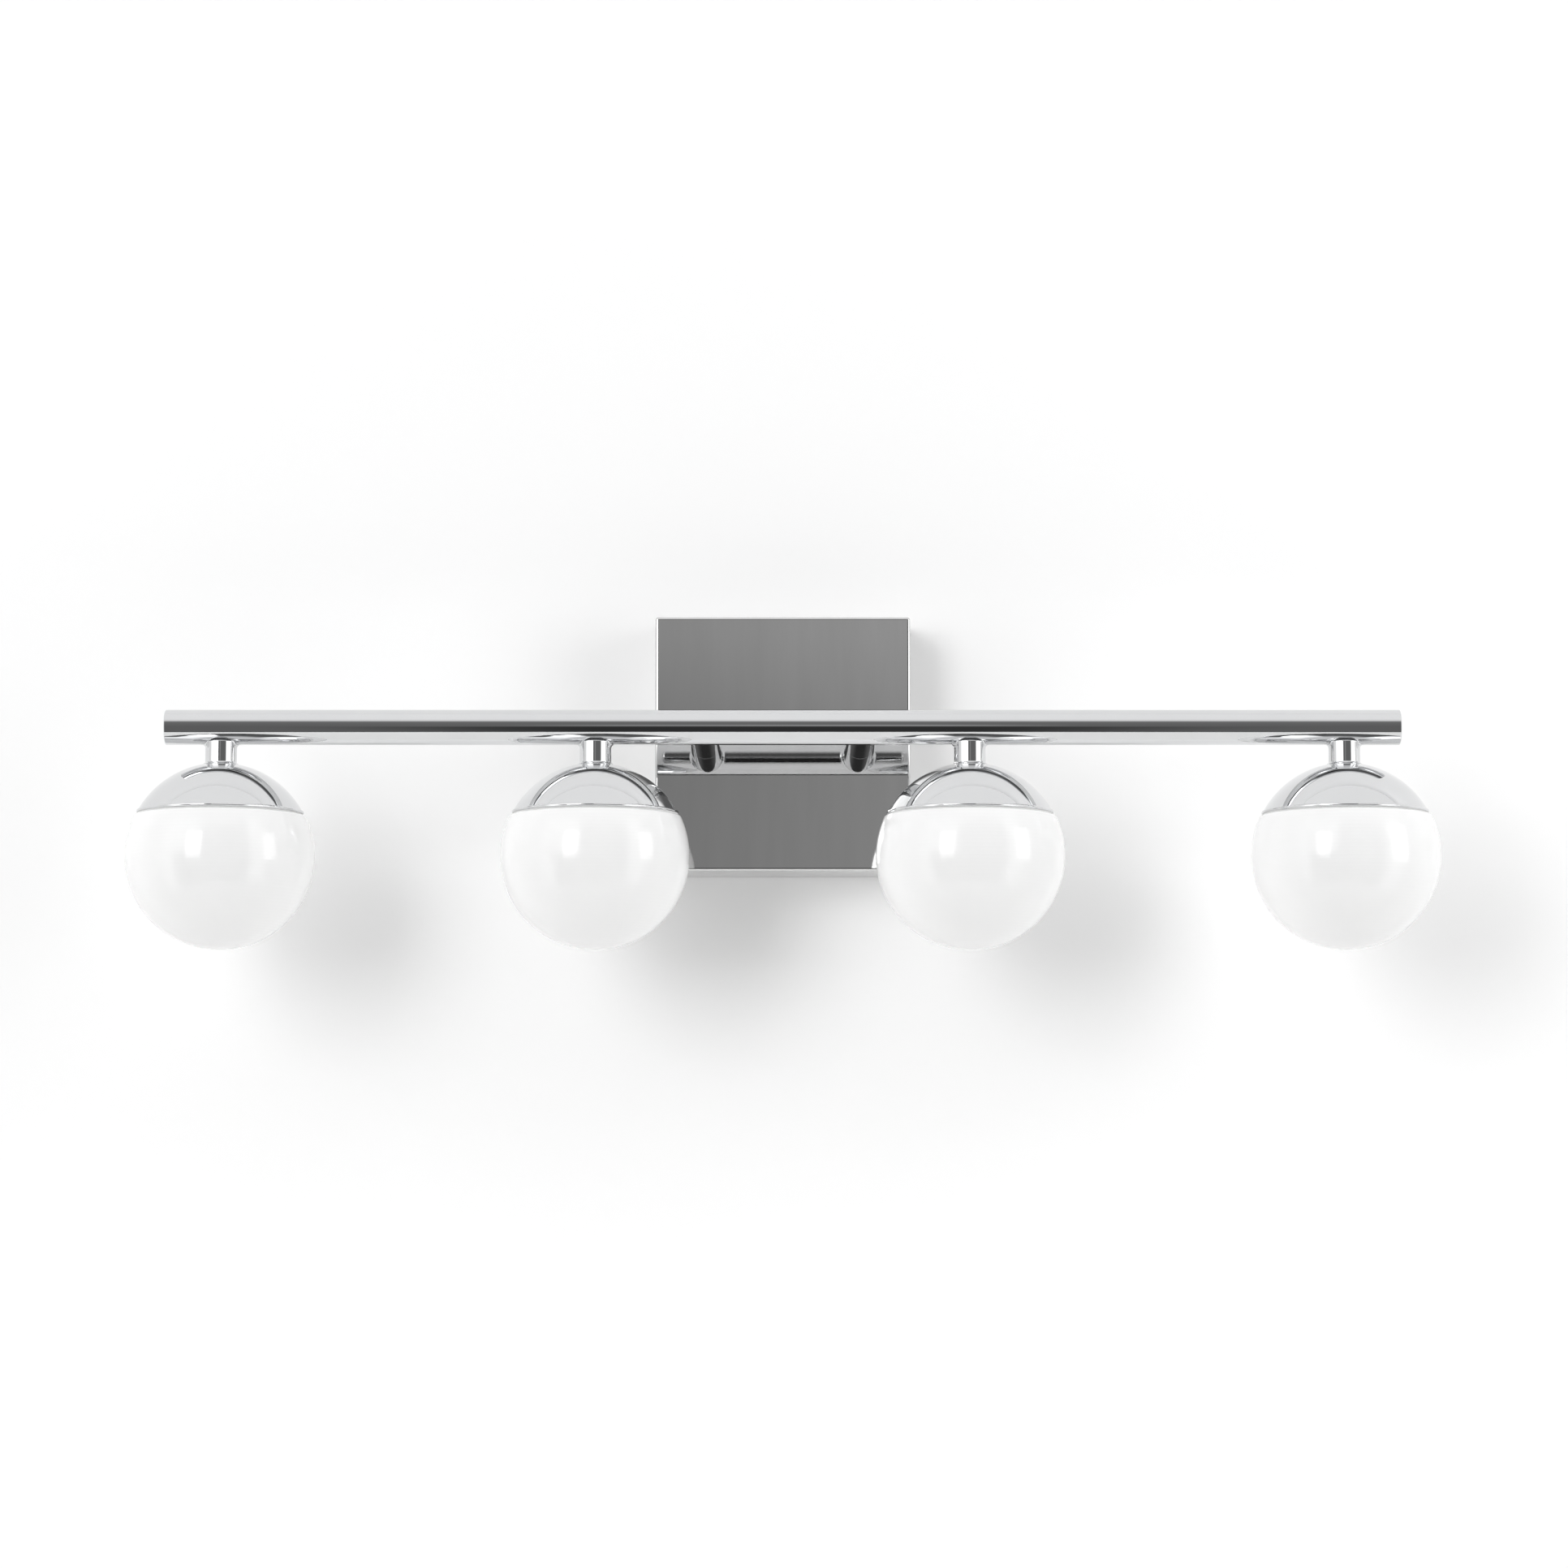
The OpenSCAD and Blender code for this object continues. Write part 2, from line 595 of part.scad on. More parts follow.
// One lead of lamp n. level is +1 for hot and -1 for neutral; at the left it runs up the stem,
// along the bar to the nearer arm and through the arm to its splice. Outer lamps use a second
// lane beside the inner lamps' leads. The right half is the mirror image of the left.
module lead(n, level, splice_y) {
    side = lamp_x(n) < 0 ? -1 : 1;
    x = abs(lamp_x(n));
    outer = x > lamp_spacing;
    lane = outer ? 1 : -1;
    riser_x = x + level * half_pitch;
    arm_lane_x = arm_x + lane * half_pitch;
    run_y = bar_y + (outer ? wire_pitch : 0);
    z = level * half_pitch;
    end_x = side * (level < 0 ? 1 : -1) * splice_x + half_pitch;
    end_y = splice_y + lane * half_pitch;
    mirror([side < 0 ? 1 : 0, 0, 0]) wire([
        [x + level * pin_x, bar_y, contact_high_h - globe_drop],
        [x + level * pin_x, bar_y, holder_top_h + 1.2 - globe_drop],
        [riser_x, bar_y, lamp_nipple_low - 0.6 - globe_drop],
        each outer ? [[riser_x, bar_y, z], [riser_x, run_y, z]] : [[riser_x, bar_y, z]],
        [arm_lane_x, run_y, z],
        [arm_lane_x, arm_nipple_end_y + 0.5, z],
        [arm_lane_x, end_y, z + level * 3],
        [end_x, end_y, splice_mouth_z - 4], [end_x, end_y, splice_mouth_z + 6]]);
}

module leads_hot() color([0.12, 0.12, 0.12]) for (n = LAMPS) lead(n, 1, hot_y);

module leads_neutral() color("white") for (n = LAMPS) lead(n, -1, neutral_y);

// two twist-on connectors, each closed at the top
module wire_connectors() color("orange")
    for (splice = [[-splice_x, hot_y], [splice_x, neutral_y]])
        translate([splice[0], splice[1], splice_mouth_z]) difference() {
            cylinder(h = splice_length, r1 = connector_r, r2 = connector_tip_r);
            translate([0, 0, -1]) cylinder(h = splice_length - 4, r = connector_bore_r);
        }

// ---- assembly ----

canopy();
canopy_screws();
wall_bracket();
ground_screw();
ground_lead();
arm_left();
arm_right();
arm_nipples();
arm_nuts();
bar_tube();
bar_end_plug_left();
bar_end_plug_right();
lamp_nipples();
holder_nuts();
holder_screws();
holder_contacts();
leads_hot();
leads_neutral();
wire_connectors();
for (n = LAMPS) {
    at_lamp(n) stem();
    at_lamp(n) cap();
    at_lamp(n) gasket();
    at_lamp(n) globe();
    at_lamp(n) shade_spring();
    at_lamp(n) holder_bracket();
    at_lamp(n) lampholder();
    at_lamp(n) bulb_glass();
    at_lamp(n) bulb_base();
    at_lamp(n) bulb_pins();
}
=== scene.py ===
import json
import math

import bmesh
import bpy
from mathutils import Matrix, Vector

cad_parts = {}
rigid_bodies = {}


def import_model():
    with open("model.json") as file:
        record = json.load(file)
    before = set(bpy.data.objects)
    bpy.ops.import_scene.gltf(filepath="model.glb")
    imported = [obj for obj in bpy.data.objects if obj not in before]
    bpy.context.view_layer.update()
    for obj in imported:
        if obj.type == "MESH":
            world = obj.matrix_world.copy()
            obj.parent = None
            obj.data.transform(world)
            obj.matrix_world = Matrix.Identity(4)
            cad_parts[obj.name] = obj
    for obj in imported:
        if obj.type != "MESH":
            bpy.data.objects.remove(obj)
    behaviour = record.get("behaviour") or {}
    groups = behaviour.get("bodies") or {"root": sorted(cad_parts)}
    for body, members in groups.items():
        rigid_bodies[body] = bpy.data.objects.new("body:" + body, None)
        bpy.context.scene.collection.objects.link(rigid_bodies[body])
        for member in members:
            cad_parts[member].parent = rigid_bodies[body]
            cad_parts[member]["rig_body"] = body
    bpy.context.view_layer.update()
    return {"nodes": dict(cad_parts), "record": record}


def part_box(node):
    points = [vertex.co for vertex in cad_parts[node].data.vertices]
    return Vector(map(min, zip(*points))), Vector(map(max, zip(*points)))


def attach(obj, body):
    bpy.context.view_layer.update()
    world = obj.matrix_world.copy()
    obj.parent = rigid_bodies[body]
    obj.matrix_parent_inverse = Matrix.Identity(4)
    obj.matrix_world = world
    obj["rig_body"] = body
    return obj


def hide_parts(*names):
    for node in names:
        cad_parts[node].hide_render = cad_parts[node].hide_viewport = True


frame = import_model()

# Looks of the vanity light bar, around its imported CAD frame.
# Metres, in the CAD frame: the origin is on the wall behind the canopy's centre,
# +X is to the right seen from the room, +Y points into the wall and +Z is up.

MM = 0.001
LAMPS = (1, 2, 3, 4)
SIDES = (-1, 1)
FIXTURE = "fixture"

# ---- places and sizes, read from the CAD nodes ----

BAR_LOW, BAR_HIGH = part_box("bar_tube")
BAR_AXIS = (BAR_LOW + BAR_HIGH) / 2
BAR_R = (BAR_HIGH.z - BAR_LOW.z) / 2
CANOPY_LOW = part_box("canopy")[0]
ARM_LOW, ARM_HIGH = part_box("arm_right")
ARM_X = (ARM_LOW.x + ARM_HIGH.x) / 2
ARM_R = (ARM_HIGH.x - ARM_LOW.x) / 2
STEM_LOW, STEM_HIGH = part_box("stem_1")
GLOBE_R = (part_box("globe_1")[1].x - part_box("globe_1")[0].x) / 2


def lamp_centre(n):
    """Centre of the sphere of globe n; the glass is cut flat above it."""
    low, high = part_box(f"globe_{n}")
    return Vector(((low.x + high.x) / 2, (low.y + high.y) / 2, low.z + GLOBE_R))


# ---- materials ----

# A Mix node has sockets for numbers and vectors before those for colours.
MIX_COLOUR_A = 6
MIX_COLOUR_B = 7
MIX_COLOUR_RESULT = 2


class Nodes:
    """Short calls for adding nodes to one shader tree."""

    def __init__(self, tree):
        self.tree = tree

    def add(self, kind, **settings):
        node = self.tree.nodes.new(kind)
        for name, value in settings.items():
            setattr(node, name, value)
        return node

    def feed(self, socket, value):
        """Links a socket to value, or sets it when value is a plain number, colour or vector."""
        if isinstance(value, bpy.types.NodeSocket):
            self.tree.links.new(value, socket)
        else:
            socket.default_value = value

    def math(self, operation, a, b=0.0):
        node = self.add("ShaderNodeMath", operation=operation)
        self.feed(node.inputs[0], a)
        self.feed(node.inputs[1], b)
        return node.outputs[0]

    def remap(self, value, start, end, low, high, smooth=False):
        """Value from start...end, turned into low...high and held there outside it."""
        node = self.add("ShaderNodeMapRange", interpolation_type="SMOOTHSTEP" if smooth else "LINEAR")
        for name, given in (("Value", value), ("From Min", start), ("From Max", end),
                            ("To Min", low), ("To Max", high)):
            self.feed(node.inputs[name], given)
        return node.outputs["Result"]

    def place(self, stretch=(1.0, 1.0, 1.0)):
        """The point on the object in metres, stretched along its axes."""
        mapping = self.add("ShaderNodeMapping")
        mapping.inputs["Scale"].default_value = stretch
        self.feed(mapping.inputs["Vector"], self.add("ShaderNodeTexCoord").outputs["Object"])
        return mapping.outputs["Vector"]

    def noise(self, vector, scale, detail=3.0, roughness=0.5):
        node = self.add("ShaderNodeTexNoise")
        self.feed(node.inputs["Vector"], vector)
        node.inputs["Scale"].default_value = scale
        node.inputs["Detail"].default_value = detail
        node.inputs["Roughness"].default_value = roughness
        return node.outputs["Fac"]

    def cells(self, vector, scale):
        """Distance to the nearest of many random points: rounded cells, as zinc crystals."""
        node = self.add("ShaderNodeTexVoronoi")
        self.feed(node.inputs["Vector"], vector)
        node.inputs["Scale"].default_value = scale
        return node.outputs["Distance"]

    def tint(self, factor, first, second):
        """Colour between first and second, which are plain colours or sockets."""
        node = self.add("ShaderNodeMix", data_type="RGBA")
        self.feed(node.inputs["Factor"], factor)
        for socket, colour in ((MIX_COLOUR_A, first), (MIX_COLOUR_B, second)):
            self.feed(node.inputs[socket], (*colour, 1.0) if isinstance(colour, tuple) else colour)
        return node.outputs[MIX_COLOUR_RESULT]

    def bump(self, height, distance, strength=1.0):
        """Surface normal from a height; distance is the relief in metres."""
        node = self.add("ShaderNodeBump")
        node.inputs["Strength"].default_value = strength
        node.inputs["Distance"].default_value = distance
        self.feed(node.inputs["Height"], height)
        return node.outputs["Normal"]


def finish_material(name, colour, **sockets):
    """A Principled material with plain values set on its own sockets, its node helper and sockets.
    Where light sinks in, it goes as deep in every colour."""
    material = bpy.data.materials.new(name)
    material.use_nodes = True
    shader = material.node_tree.nodes["Principled BSDF"]
    shader.inputs["Base Color"].default_value = (*colour, 1.0)
    shader.inputs["Subsurface Radius"].default_value = (1.0, 1.0, 1.0)
    for socket, value in sockets.items():
        shader.inputs[socket.replace("_", " ")].default_value = value
    return material, Nodes(material.node_tree), shader.inputs


def scaled(colour, factor):
    return tuple(factor * c for c in colour)


def chrome():
    """Bright chrome plate: a mirror with faint wiping haze and hair scratches."""
    material, n, inputs = finish_material("chrome", (0.69, 0.695, 0.70), Metallic=1.0)
    haze = n.noise(n.place(), 45.0, 4.0, 0.6)
    hairs = n.noise(n.place((1.0, 9.0, 9.0)), 900.0, 2.0)
    n.feed(inputs["Base Color"], n.tint(haze, (0.67, 0.675, 0.685), (0.71, 0.715, 0.72)))
    n.feed(inputs["Roughness"], n.remap(haze, 0.35, 0.75, 0.015, 0.06))
    n.feed(inputs["Normal"], n.bump(hairs, 0.0000015, 0.5))
    return material


def canopy_steel():
    """Polished sheet with faint upright brushing under the polish."""
    material, n, inputs = finish_material("canopy_steel", (0.64, 0.64, 0.64), Metallic=1.0)
    lines = n.noise(n.place((1.0, 1.0, 0.03)), 1400.0, 3.0, 0.65)
    broad = n.noise(n.place((1.0, 1.0, 0.12)), 90.0, 3.0)
    n.feed(inputs["Base Color"], n.tint(broad, (0.60, 0.60, 0.598), (0.68, 0.68, 0.68)))
    n.feed(inputs["Roughness"], n.remap(lines, 0.3, 0.7, 0.012, 0.045))
    n.feed(inputs["Normal"], n.bump(lines, 0.000002, 0.35))
    return material


def zinc_steel():
    """Zinc-plated steel: small crystals, a faint yellow passivation and rolling marks."""
    material, n, inputs = finish_material("zinc_steel", (0.70, 0.69, 0.64), Metallic=1.0)
    crystals = n.cells(n.place(), 700.0)
    patches = n.noise(n.place(), 120.0, 4.0)
    grain = n.noise(n.place((0.2, 1.0, 1.0)), 3500.0, 2.0)
    n.feed(inputs["Base Color"], n.tint(patches, (0.60, 0.62, 0.63), (0.80, 0.75, 0.60)))
    n.feed(inputs["Roughness"], n.remap(crystals, 0.0, 0.9, 0.24, 0.44))
    n.feed(inputs["Normal"], n.bump(grain, 0.00001, 0.4))
    return material


def spring_steel():
    """Satin leaf-spring strip with rolling lines along it."""
    material, n, inputs = finish_material("spring_steel", (0.52, 0.52, 0.54), Metallic=1.0)
    lines = n.noise(n.place((1.0, 1.0, 0.08)), 2600.0, 3.0)
    heat = n.noise(n.place(), 60.0, 2.0)
    n.feed(inputs["Base Color"], n.tint(heat, (0.46, 0.47, 0.50), (0.60, 0.58, 0.54)))
    n.feed(inputs["Roughness"], n.remap(lines, 0.3, 0.7, 0.22, 0.40))
    n.feed(inputs["Normal"], n.bump(lines, 0.000008, 0.5))
    return material


def green_screw():
    """Ground screw: dyed zinc, rubbed thin in patches so that metal shows through."""
    material, n, inputs = finish_material("green_screw", (0.09, 0.38, 0.18), Metallic=0.85)
    rubbed = n.remap(n.noise(n.place(), 900.0, 4.0), 0.55, 0.72, 0.0, 1.0, smooth=True)
    n.feed(inputs["Base Color"], n.tint(rubbed, (0.07, 0.36, 0.16), (0.42, 0.58, 0.42)))
    n.feed(inputs["Roughness"], n.remap(rubbed, 0.0, 1.0, 0.28, 0.42))
    n.feed(inputs["Normal"], n.bump(rubbed, 0.00001, 0.4))
    return material


def contact_brass():
    """Stamped brass with a little tarnish."""
    material, n, inputs = finish_material("contact_brass", (0.80, 0.62, 0.30), Metallic=1.0)
    tarnish = n.noise(n.place(), 500.0, 4.0, 0.6)
    n.feed(inputs["Base Color"], n.tint(tarnish, (0.86, 0.70, 0.36), (0.55, 0.40, 0.18)))
    n.feed(inputs["Roughness"], n.remap(tarnish, 0.3, 0.8, 0.18, 0.42))
    n.feed(inputs["Normal"], n.bump(tarnish, 0.000006, 0.4))
    return material


def pin_nickel():
    """Drawn nickel wire: fine lines round the pin."""
    material, n, inputs = finish_material("pin_nickel", (0.74, 0.72, 0.68), Metallic=1.0)
    drawn = n.noise(n.place((6.0, 6.0, 0.1)), 900.0, 2.0)
    n.feed(inputs["Base Color"], n.tint(drawn, (0.68, 0.66, 0.62), (0.80, 0.78, 0.74)))
    n.feed(inputs["Roughness"], n.remap(drawn, 0.3, 0.7, 0.14, 0.30))
    n.feed(inputs["Normal"], n.bump(drawn, 0.000004, 0.5))
    return material


def opal_glass():
    """White opal glass: glossy skin over a cloudy white body that light sinks into."""
    material, n, inputs = finish_material(
        "opal_glass", (0.89, 0.89, 0.888), IOR=1.5, Subsurface_Weight=0.5, Subsurface_Scale=0.006)
    cloud = n.noise(n.place(), 26.0, 4.0)
    blown = n.noise(n.place((1.0, 1.0, 0.5)), 18.0, 1.0)
    n.feed(inputs["Base Color"], n.tint(cloud, (0.875, 0.877, 0.88), (0.905, 0.904, 0.90)))
    n.feed(inputs["Roughness"], n.remap(cloud, 0.3, 0.7, 0.085, 0.12))
    n.feed(inputs["Normal"], n.bump(blown, 0.0002, 0.3))
    return material


def bulb_frosted_glass():
    """Capsule of etched glass: light gets through, shapes don't."""
    material, n, inputs = finish_material(
        "bulb_frosted_glass", (0.95, 0.96, 0.96), IOR=1.48, Transmission_Weight=0.6)
    etch = n.noise(n.place(), 5000.0, 2.0)
    cloud = n.noise(n.place(), 240.0, 3.0)
    n.feed(inputs["Base Color"], n.tint(cloud, (0.92, 0.93, 0.94), (0.98, 0.98, 0.97)))
    n.feed(inputs["Roughness"], n.remap(etch, 0.3, 0.7, 0.42, 0.60))
    n.feed(inputs["Normal"], n.bump(etch, 0.00002, 0.5))
    return material


def ceramic(name, pale, dark, gloss):
    """Pressed steatite: fine speckle, pinholes and a dry surface."""
    material, n, inputs = finish_material(name, pale, IOR=1.52, Subsurface_Weight=0.12,
                                          Subsurface_Scale=0.001)
    speckle = n.remap(n.noise(n.place(), 2600.0, 2.0), 0.64, 0.78, 0.0, 0.5, smooth=True)
    clay = n.noise(n.place(), 180.0, 4.0)
    grain = n.noise(n.place(), 4200.0, 3.0)
    body = n.tint(clay, pale, scaled(pale, 0.94))
    n.feed(inputs["Base Color"], n.tint(speckle, body, dark))
    n.feed(inputs["Roughness"], n.remap(clay, 0.3, 0.7, gloss, gloss + 0.15))
    n.feed(inputs["Normal"], n.bump(grain, 0.00003, 0.5))
    return material


def moulded_plastic(name, colour, scuffed, fine=1.0):
    """Moulded or extruded plastic: slight mottling, scuffs and a fine matt texture.
    A larger fine makes the pattern smaller."""
    material, n, inputs = finish_material(name, colour, IOR=1.5, Subsurface_Weight=0.05,
                                          Subsurface_Scale=0.001)
    mottle = n.noise(n.place(), 220.0 * fine, 4.0)
    texture = n.noise(n.place(), 5200.0 * fine, 2.0)
    rubs = n.noise(n.place((1.0, 1.0, 0.2)), 700.0 * fine, 5.0)
    scuff = n.remap(rubs, 0.62, 0.74, 0.0, 0.6, smooth=True)
    body = n.tint(mottle, colour, scaled(colour, 0.86))
    n.feed(inputs["Base Color"], n.tint(scuff, body, scuffed))
    n.feed(inputs["Roughness"], n.remap(mottle, 0.3, 0.7, 0.34, 0.50))
    n.feed(inputs["Normal"], n.bump(texture, 0.00002, 0.35))
    return material


def silicone():
    """Soft silicone ring: cloudy, waxy and slightly dusty."""
    material, n, inputs = finish_material("silicone", (0.80, 0.80, 0.80), IOR=1.41,
                                          Subsurface_Weight=0.4, Subsurface_Scale=0.002)
    dust = n.noise(n.place(), 800.0, 4.0)
    n.feed(inputs["Base Color"], n.tint(dust, (0.75, 0.75, 0.75), (0.86, 0.86, 0.855)))
    n.feed(inputs["Roughness"], n.remap(dust, 0.3, 0.7, 0.45, 0.65))
    n.feed(inputs["Normal"], n.bump(dust, 0.00004, 0.4))
    return material


MATERIALS = {
    "chrome": chrome(),
    "canopy_steel": canopy_steel(),
    "zinc_steel": zinc_steel(),
    "spring_steel": spring_steel(),
    "green_screw": green_screw(),
    "green_wire": moulded_plastic("green_wire", (0.05, 0.30, 0.10), (0.20, 0.45, 0.24), 2.0),
    "contact_brass": contact_brass(),
    "black_wire": moulded_plastic("black_wire", (0.025, 0.025, 0.027), (0.14, 0.14, 0.14), 2.0),
    "white_wire": moulded_plastic("white_wire", (0.82, 0.82, 0.79), (0.62, 0.61, 0.58), 2.0),
    "connector_plastic": moulded_plastic("connector_plastic", (0.80, 0.27, 0.04), (0.90, 0.52, 0.30)),
    "silicone": silicone(),
    "opal_glass": opal_glass(),
    "holder_ceramic": ceramic("holder_ceramic", (0.83, 0.80, 0.73), (0.45, 0.42, 0.37), 0.55),
    "bulb_frosted_glass": bulb_frosted_glass(),
    "bulb_ceramic": ceramic("bulb_ceramic", (0.90, 0.90, 0.88), (0.60, 0.60, 0.58), 0.35),
    "pin_nickel": pin_nickel(),
}
SLOT_OF = {row["node"]: row["material_slot"] for row in frame["record"]["subparts"]}


def dress_cad_nodes():
    """Gives each CAD node the finished material of its slot."""
    for name, obj in frame["nodes"].items():
        for material_slot in obj.material_slots:
            material_slot.material = MATERIALS[SLOT_OF[name]]


# ---- mesh helpers ----

MERGE = 0.0001 * MM
LATHE_SIDES = 64
SHARP_EDGE = math.radians(35)
INTO_WALL = Matrix.Rotation(-math.pi / 2, 4, "X")
INTO_ROOM = Matrix.Rotation(math.pi / 2, 4, "X")


def at(x, y, z):
    return Matrix.Translation((x, y, z))


def moved(mesh, place):
    mesh.transform(place)
    return mesh


def loft(rings, closed=False, capped=False):
    """Mesh through rings of points, all with as many points; each ring is closed on itself.
    closed joins the last ring to the first, capped fills the two end rings."""
    mesh = bmesh.new()
    rows = [[mesh.verts.new(point) for point in ring] for ring in rings]
    pairs = list(zip(rows, rows[1:]))
    if closed:
        pairs.append((rows[-1], rows[0]))
    for lower, upper in pairs:
        for i in range(len(lower)):
            j = (i + 1) % len(lower)
            mesh.faces.new((lower[i], lower[j], upper[j], upper[i]))
    if capped:
        for row in (rows[0], rows[-1]):
            centre = mesh.verts.new(sum((v.co for v in row), Vector()) / len(row))
            for i in range(len(row)):
                mesh.faces.new((row[i], row[(i + 1) % len(row)], centre))
    bmesh.ops.recalc_face_normals(mesh, faces=mesh.faces)
    return mesh


def joined(meshes):
    """Several bmeshes as one."""
    whole = bmesh.new()
    for mesh in meshes:
        data = bpy.data.meshes.new("part")
        mesh.to_mesh(data)
        mesh.free()
        whole.from_mesh(data)
        bpy.data.meshes.remove(data)
    return whole


def polar(radius, angle, height):
    return Vector((radius * math.cos(angle), radius * math.sin(angle), height))


def ring_round(radius_at, height, sides):
    """Ring of points round +Z, radius_at(angle) away from it."""
    angles = [2 * math.pi * i / sides for i in range(sides)]
    return [polar(radius_at(angle), angle, height) for angle in angles]


def circle(radius, height, sides):
    return ring_round(lambda angle: radius, height, sides)


def lathe(profile, sides=LATHE_SIDES, closed=True):
    """Solid of revolution from (radius, height) points: a closed loop, or a line from axis to axis."""
    mesh = loft([circle(r, h, sides) for r, h in profile], closed=closed)
    bmesh.ops.remove_doubles(mesh, verts=mesh.verts, dist=MERGE)
    return mesh


def arc(centre, radius, start, end, steps):
    """Points on an arc, angles in degrees."""
    points = []
    for i in range(steps + 1):
        angle = math.radians(start + (end - start) * i / steps)
        points.append((centre[0] + radius * math.cos(angle), centre[1] + radius * math.sin(angle)))
    return points


def curve(start, corner, end, t):
    """Point at t, from 0 to 1, on the curve from start to end that bends round corner."""
    return (1 - t) ** 2 * start + 2 * t * (1 - t) * corner + t * t * end


def new_object(name, mesh, material):
    """Turns a bmesh into an object of the scene."""
    data = bpy.data.meshes.new(name)
    mesh.to_mesh(data)
    mesh.free()
    data.materials.append(material)
    obj = bpy.data.objects.new(name, data)
    bpy.context.scene.collection.objects.link(obj)
    return obj


def piece(name, mesh, body, slot_name, stands_for, place=Matrix.Identity(4)):
    """Turns a bmesh into a finished object that rides on body and replaces CAD nodes."""
    obj = new_object(name, moved(mesh, place), MATERIALS[slot_name])
    obj.data.shade_smooth()
    obj.data.set_sharp_from_angle(angle=SHARP_EDGE)
    weighted = obj.modifiers.new("flat faces stay flat", "WEIGHTED_NORMAL")
    weighted.keep_sharp = True
    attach(obj, body)
    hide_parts(*stands_for)
    return obj


# ---- stems and arms: tubes that meet the bar in a smooth fillet ----

BRANCH_SIDES = 128
FILLET = 2.2 * MM
LEAST_FILLET = 0.05 * MM
FILLET_STEPS = 10
RIM_ROUNDING = 0.5 * MM
RIM_ROUNDING_SHARE = 0.6       # of the rim's width, where the rim is narrow
BAR_GAP = 0.02 * MM
WIRE_HOLE_R = 4.0 * MM
THREAD_HOLE_R = 5.02 * MM
THREAD_DEPTH = 8.0 * MM


def bar_surface(across):
    """Height of the bar's skin over its axis, along the branch, at a distance across the bar."""
    return math.sqrt((BAR_R + BAR_GAP) ** 2 - across ** 2)


def fillet_points(radius, angle, length, reach):
    """(radius, height) points from the branch's wall onto the bar at one angle round the branch.
    The fillet is widest along the bar and dies out at reach from the bar's axis."""
    spread = LEAST_FILLET + (FILLET - LEAST_FILLET) * (1 - (radius * math.sin(angle) / reach) ** 2)
    landing_r = radius + spread
    across = landing_r * math.sin(angle)
    landing = length - bar_surface(across)
    slope = across * math.sin(angle) / bar_surface(across)
    corner = landing - slope * spread
    start = corner - spread
    points = []
    for i in range(FILLET_STEPS + 1):
        t = i / FILLET_STEPS
        points.append((radius + spread * t * t, curve(start, corner, landing, t)))
    return points


def shoulder_points(radius, angle, length, reach):
    """(radius, height) points over the rounded, level rim that a branch has where it isn't coped;
    there are as many as in a fillet."""
    level = length - bar_surface(reach)
    inner = reach / abs(math.sin(angle))
    rounding = min(RIM_ROUNDING, RIM_ROUNDING_SHARE * (radius - inner))
    rim = arc((radius - rounding, level - rounding), rounding, 0, 90, FILLET_STEPS - 1)
    return rim + [(inner, level)]


def branch(radius, foot_profile, bore_profile, length, reach):
    """Tube along +Z whose end lies on the bar; the bar runs along X at height length.
    foot_profile and bore_profile are (radius, height) points at the low end and inside. The tube is
    coped to the bar up to reach from the bar's axis, and has a level rim beyond it."""
    bore_r = bore_profile[0][0]
    columns = []
    for i in range(BRANCH_SIDES):
        angle = 2 * math.pi * i / BRANCH_SIDES
        end_points = fillet_points if radius * abs(math.sin(angle)) < reach else shoulder_points
        bore_end = (bore_r, length - bar_surface(bore_r * math.sin(angle)))
        column = foot_profile + end_points(radius, angle, length, reach)
        column += [bore_end] + bore_profile[1:]
        columns.append([polar(r, angle, h) for r, h in column])
    rings = [list(ring) for ring in zip(*columns)]
    return loft(rings, closed=True)


STEM_R = 8.5 * MM
STEM_REACH = 5.5 * MM
FOOT_LIP = 0.3 * MM
FOOT_ROUNDING = 0.12 * MM
FOOT_FILLET_FROM = 262         # degrees; it stops a little short of 270, where it would be too thin
ARM_REACH = 7.5 * MM
ARM_EDGE = 0.35 * MM
ARM_BORE_R = 7.2 * MM
ARM_SOLID_END = 14.0 * MM


def build_stems():
    foot_r = (STEM_HIGH.x - STEM_LOW.x) / 2
    fillet = foot_r - STEM_R
    length = BAR_AXIS.z - STEM_LOW.z
    foot = [(THREAD_HOLE_R, 0.0), (foot_r - FOOT_ROUNDING, 0.0), (foot_r, FOOT_ROUNDING),
            (foot_r, FOOT_LIP - FOOT_ROUNDING), (foot_r - FOOT_ROUNDING, FOOT_LIP)]
    foot += arc((foot_r, FOOT_LIP + fillet), fillet, FOOT_FILLET_FROM, 180, FILLET_STEPS)
    bore = [(WIRE_HOLE_R, 0.0), (WIRE_HOLE_R, THREAD_DEPTH), (THREAD_HOLE_R, THREAD_DEPTH)]
    for n in LAMPS:
        stem = branch(STEM_R, foot, bore, length, STEM_REACH)
        place = at(lamp_centre(n).x, BAR_AXIS.y, STEM_LOW.z)
        piece(f"stem_{n}_filleted", stem, FIXTURE, "chrome", [f"stem_{n}"], place)


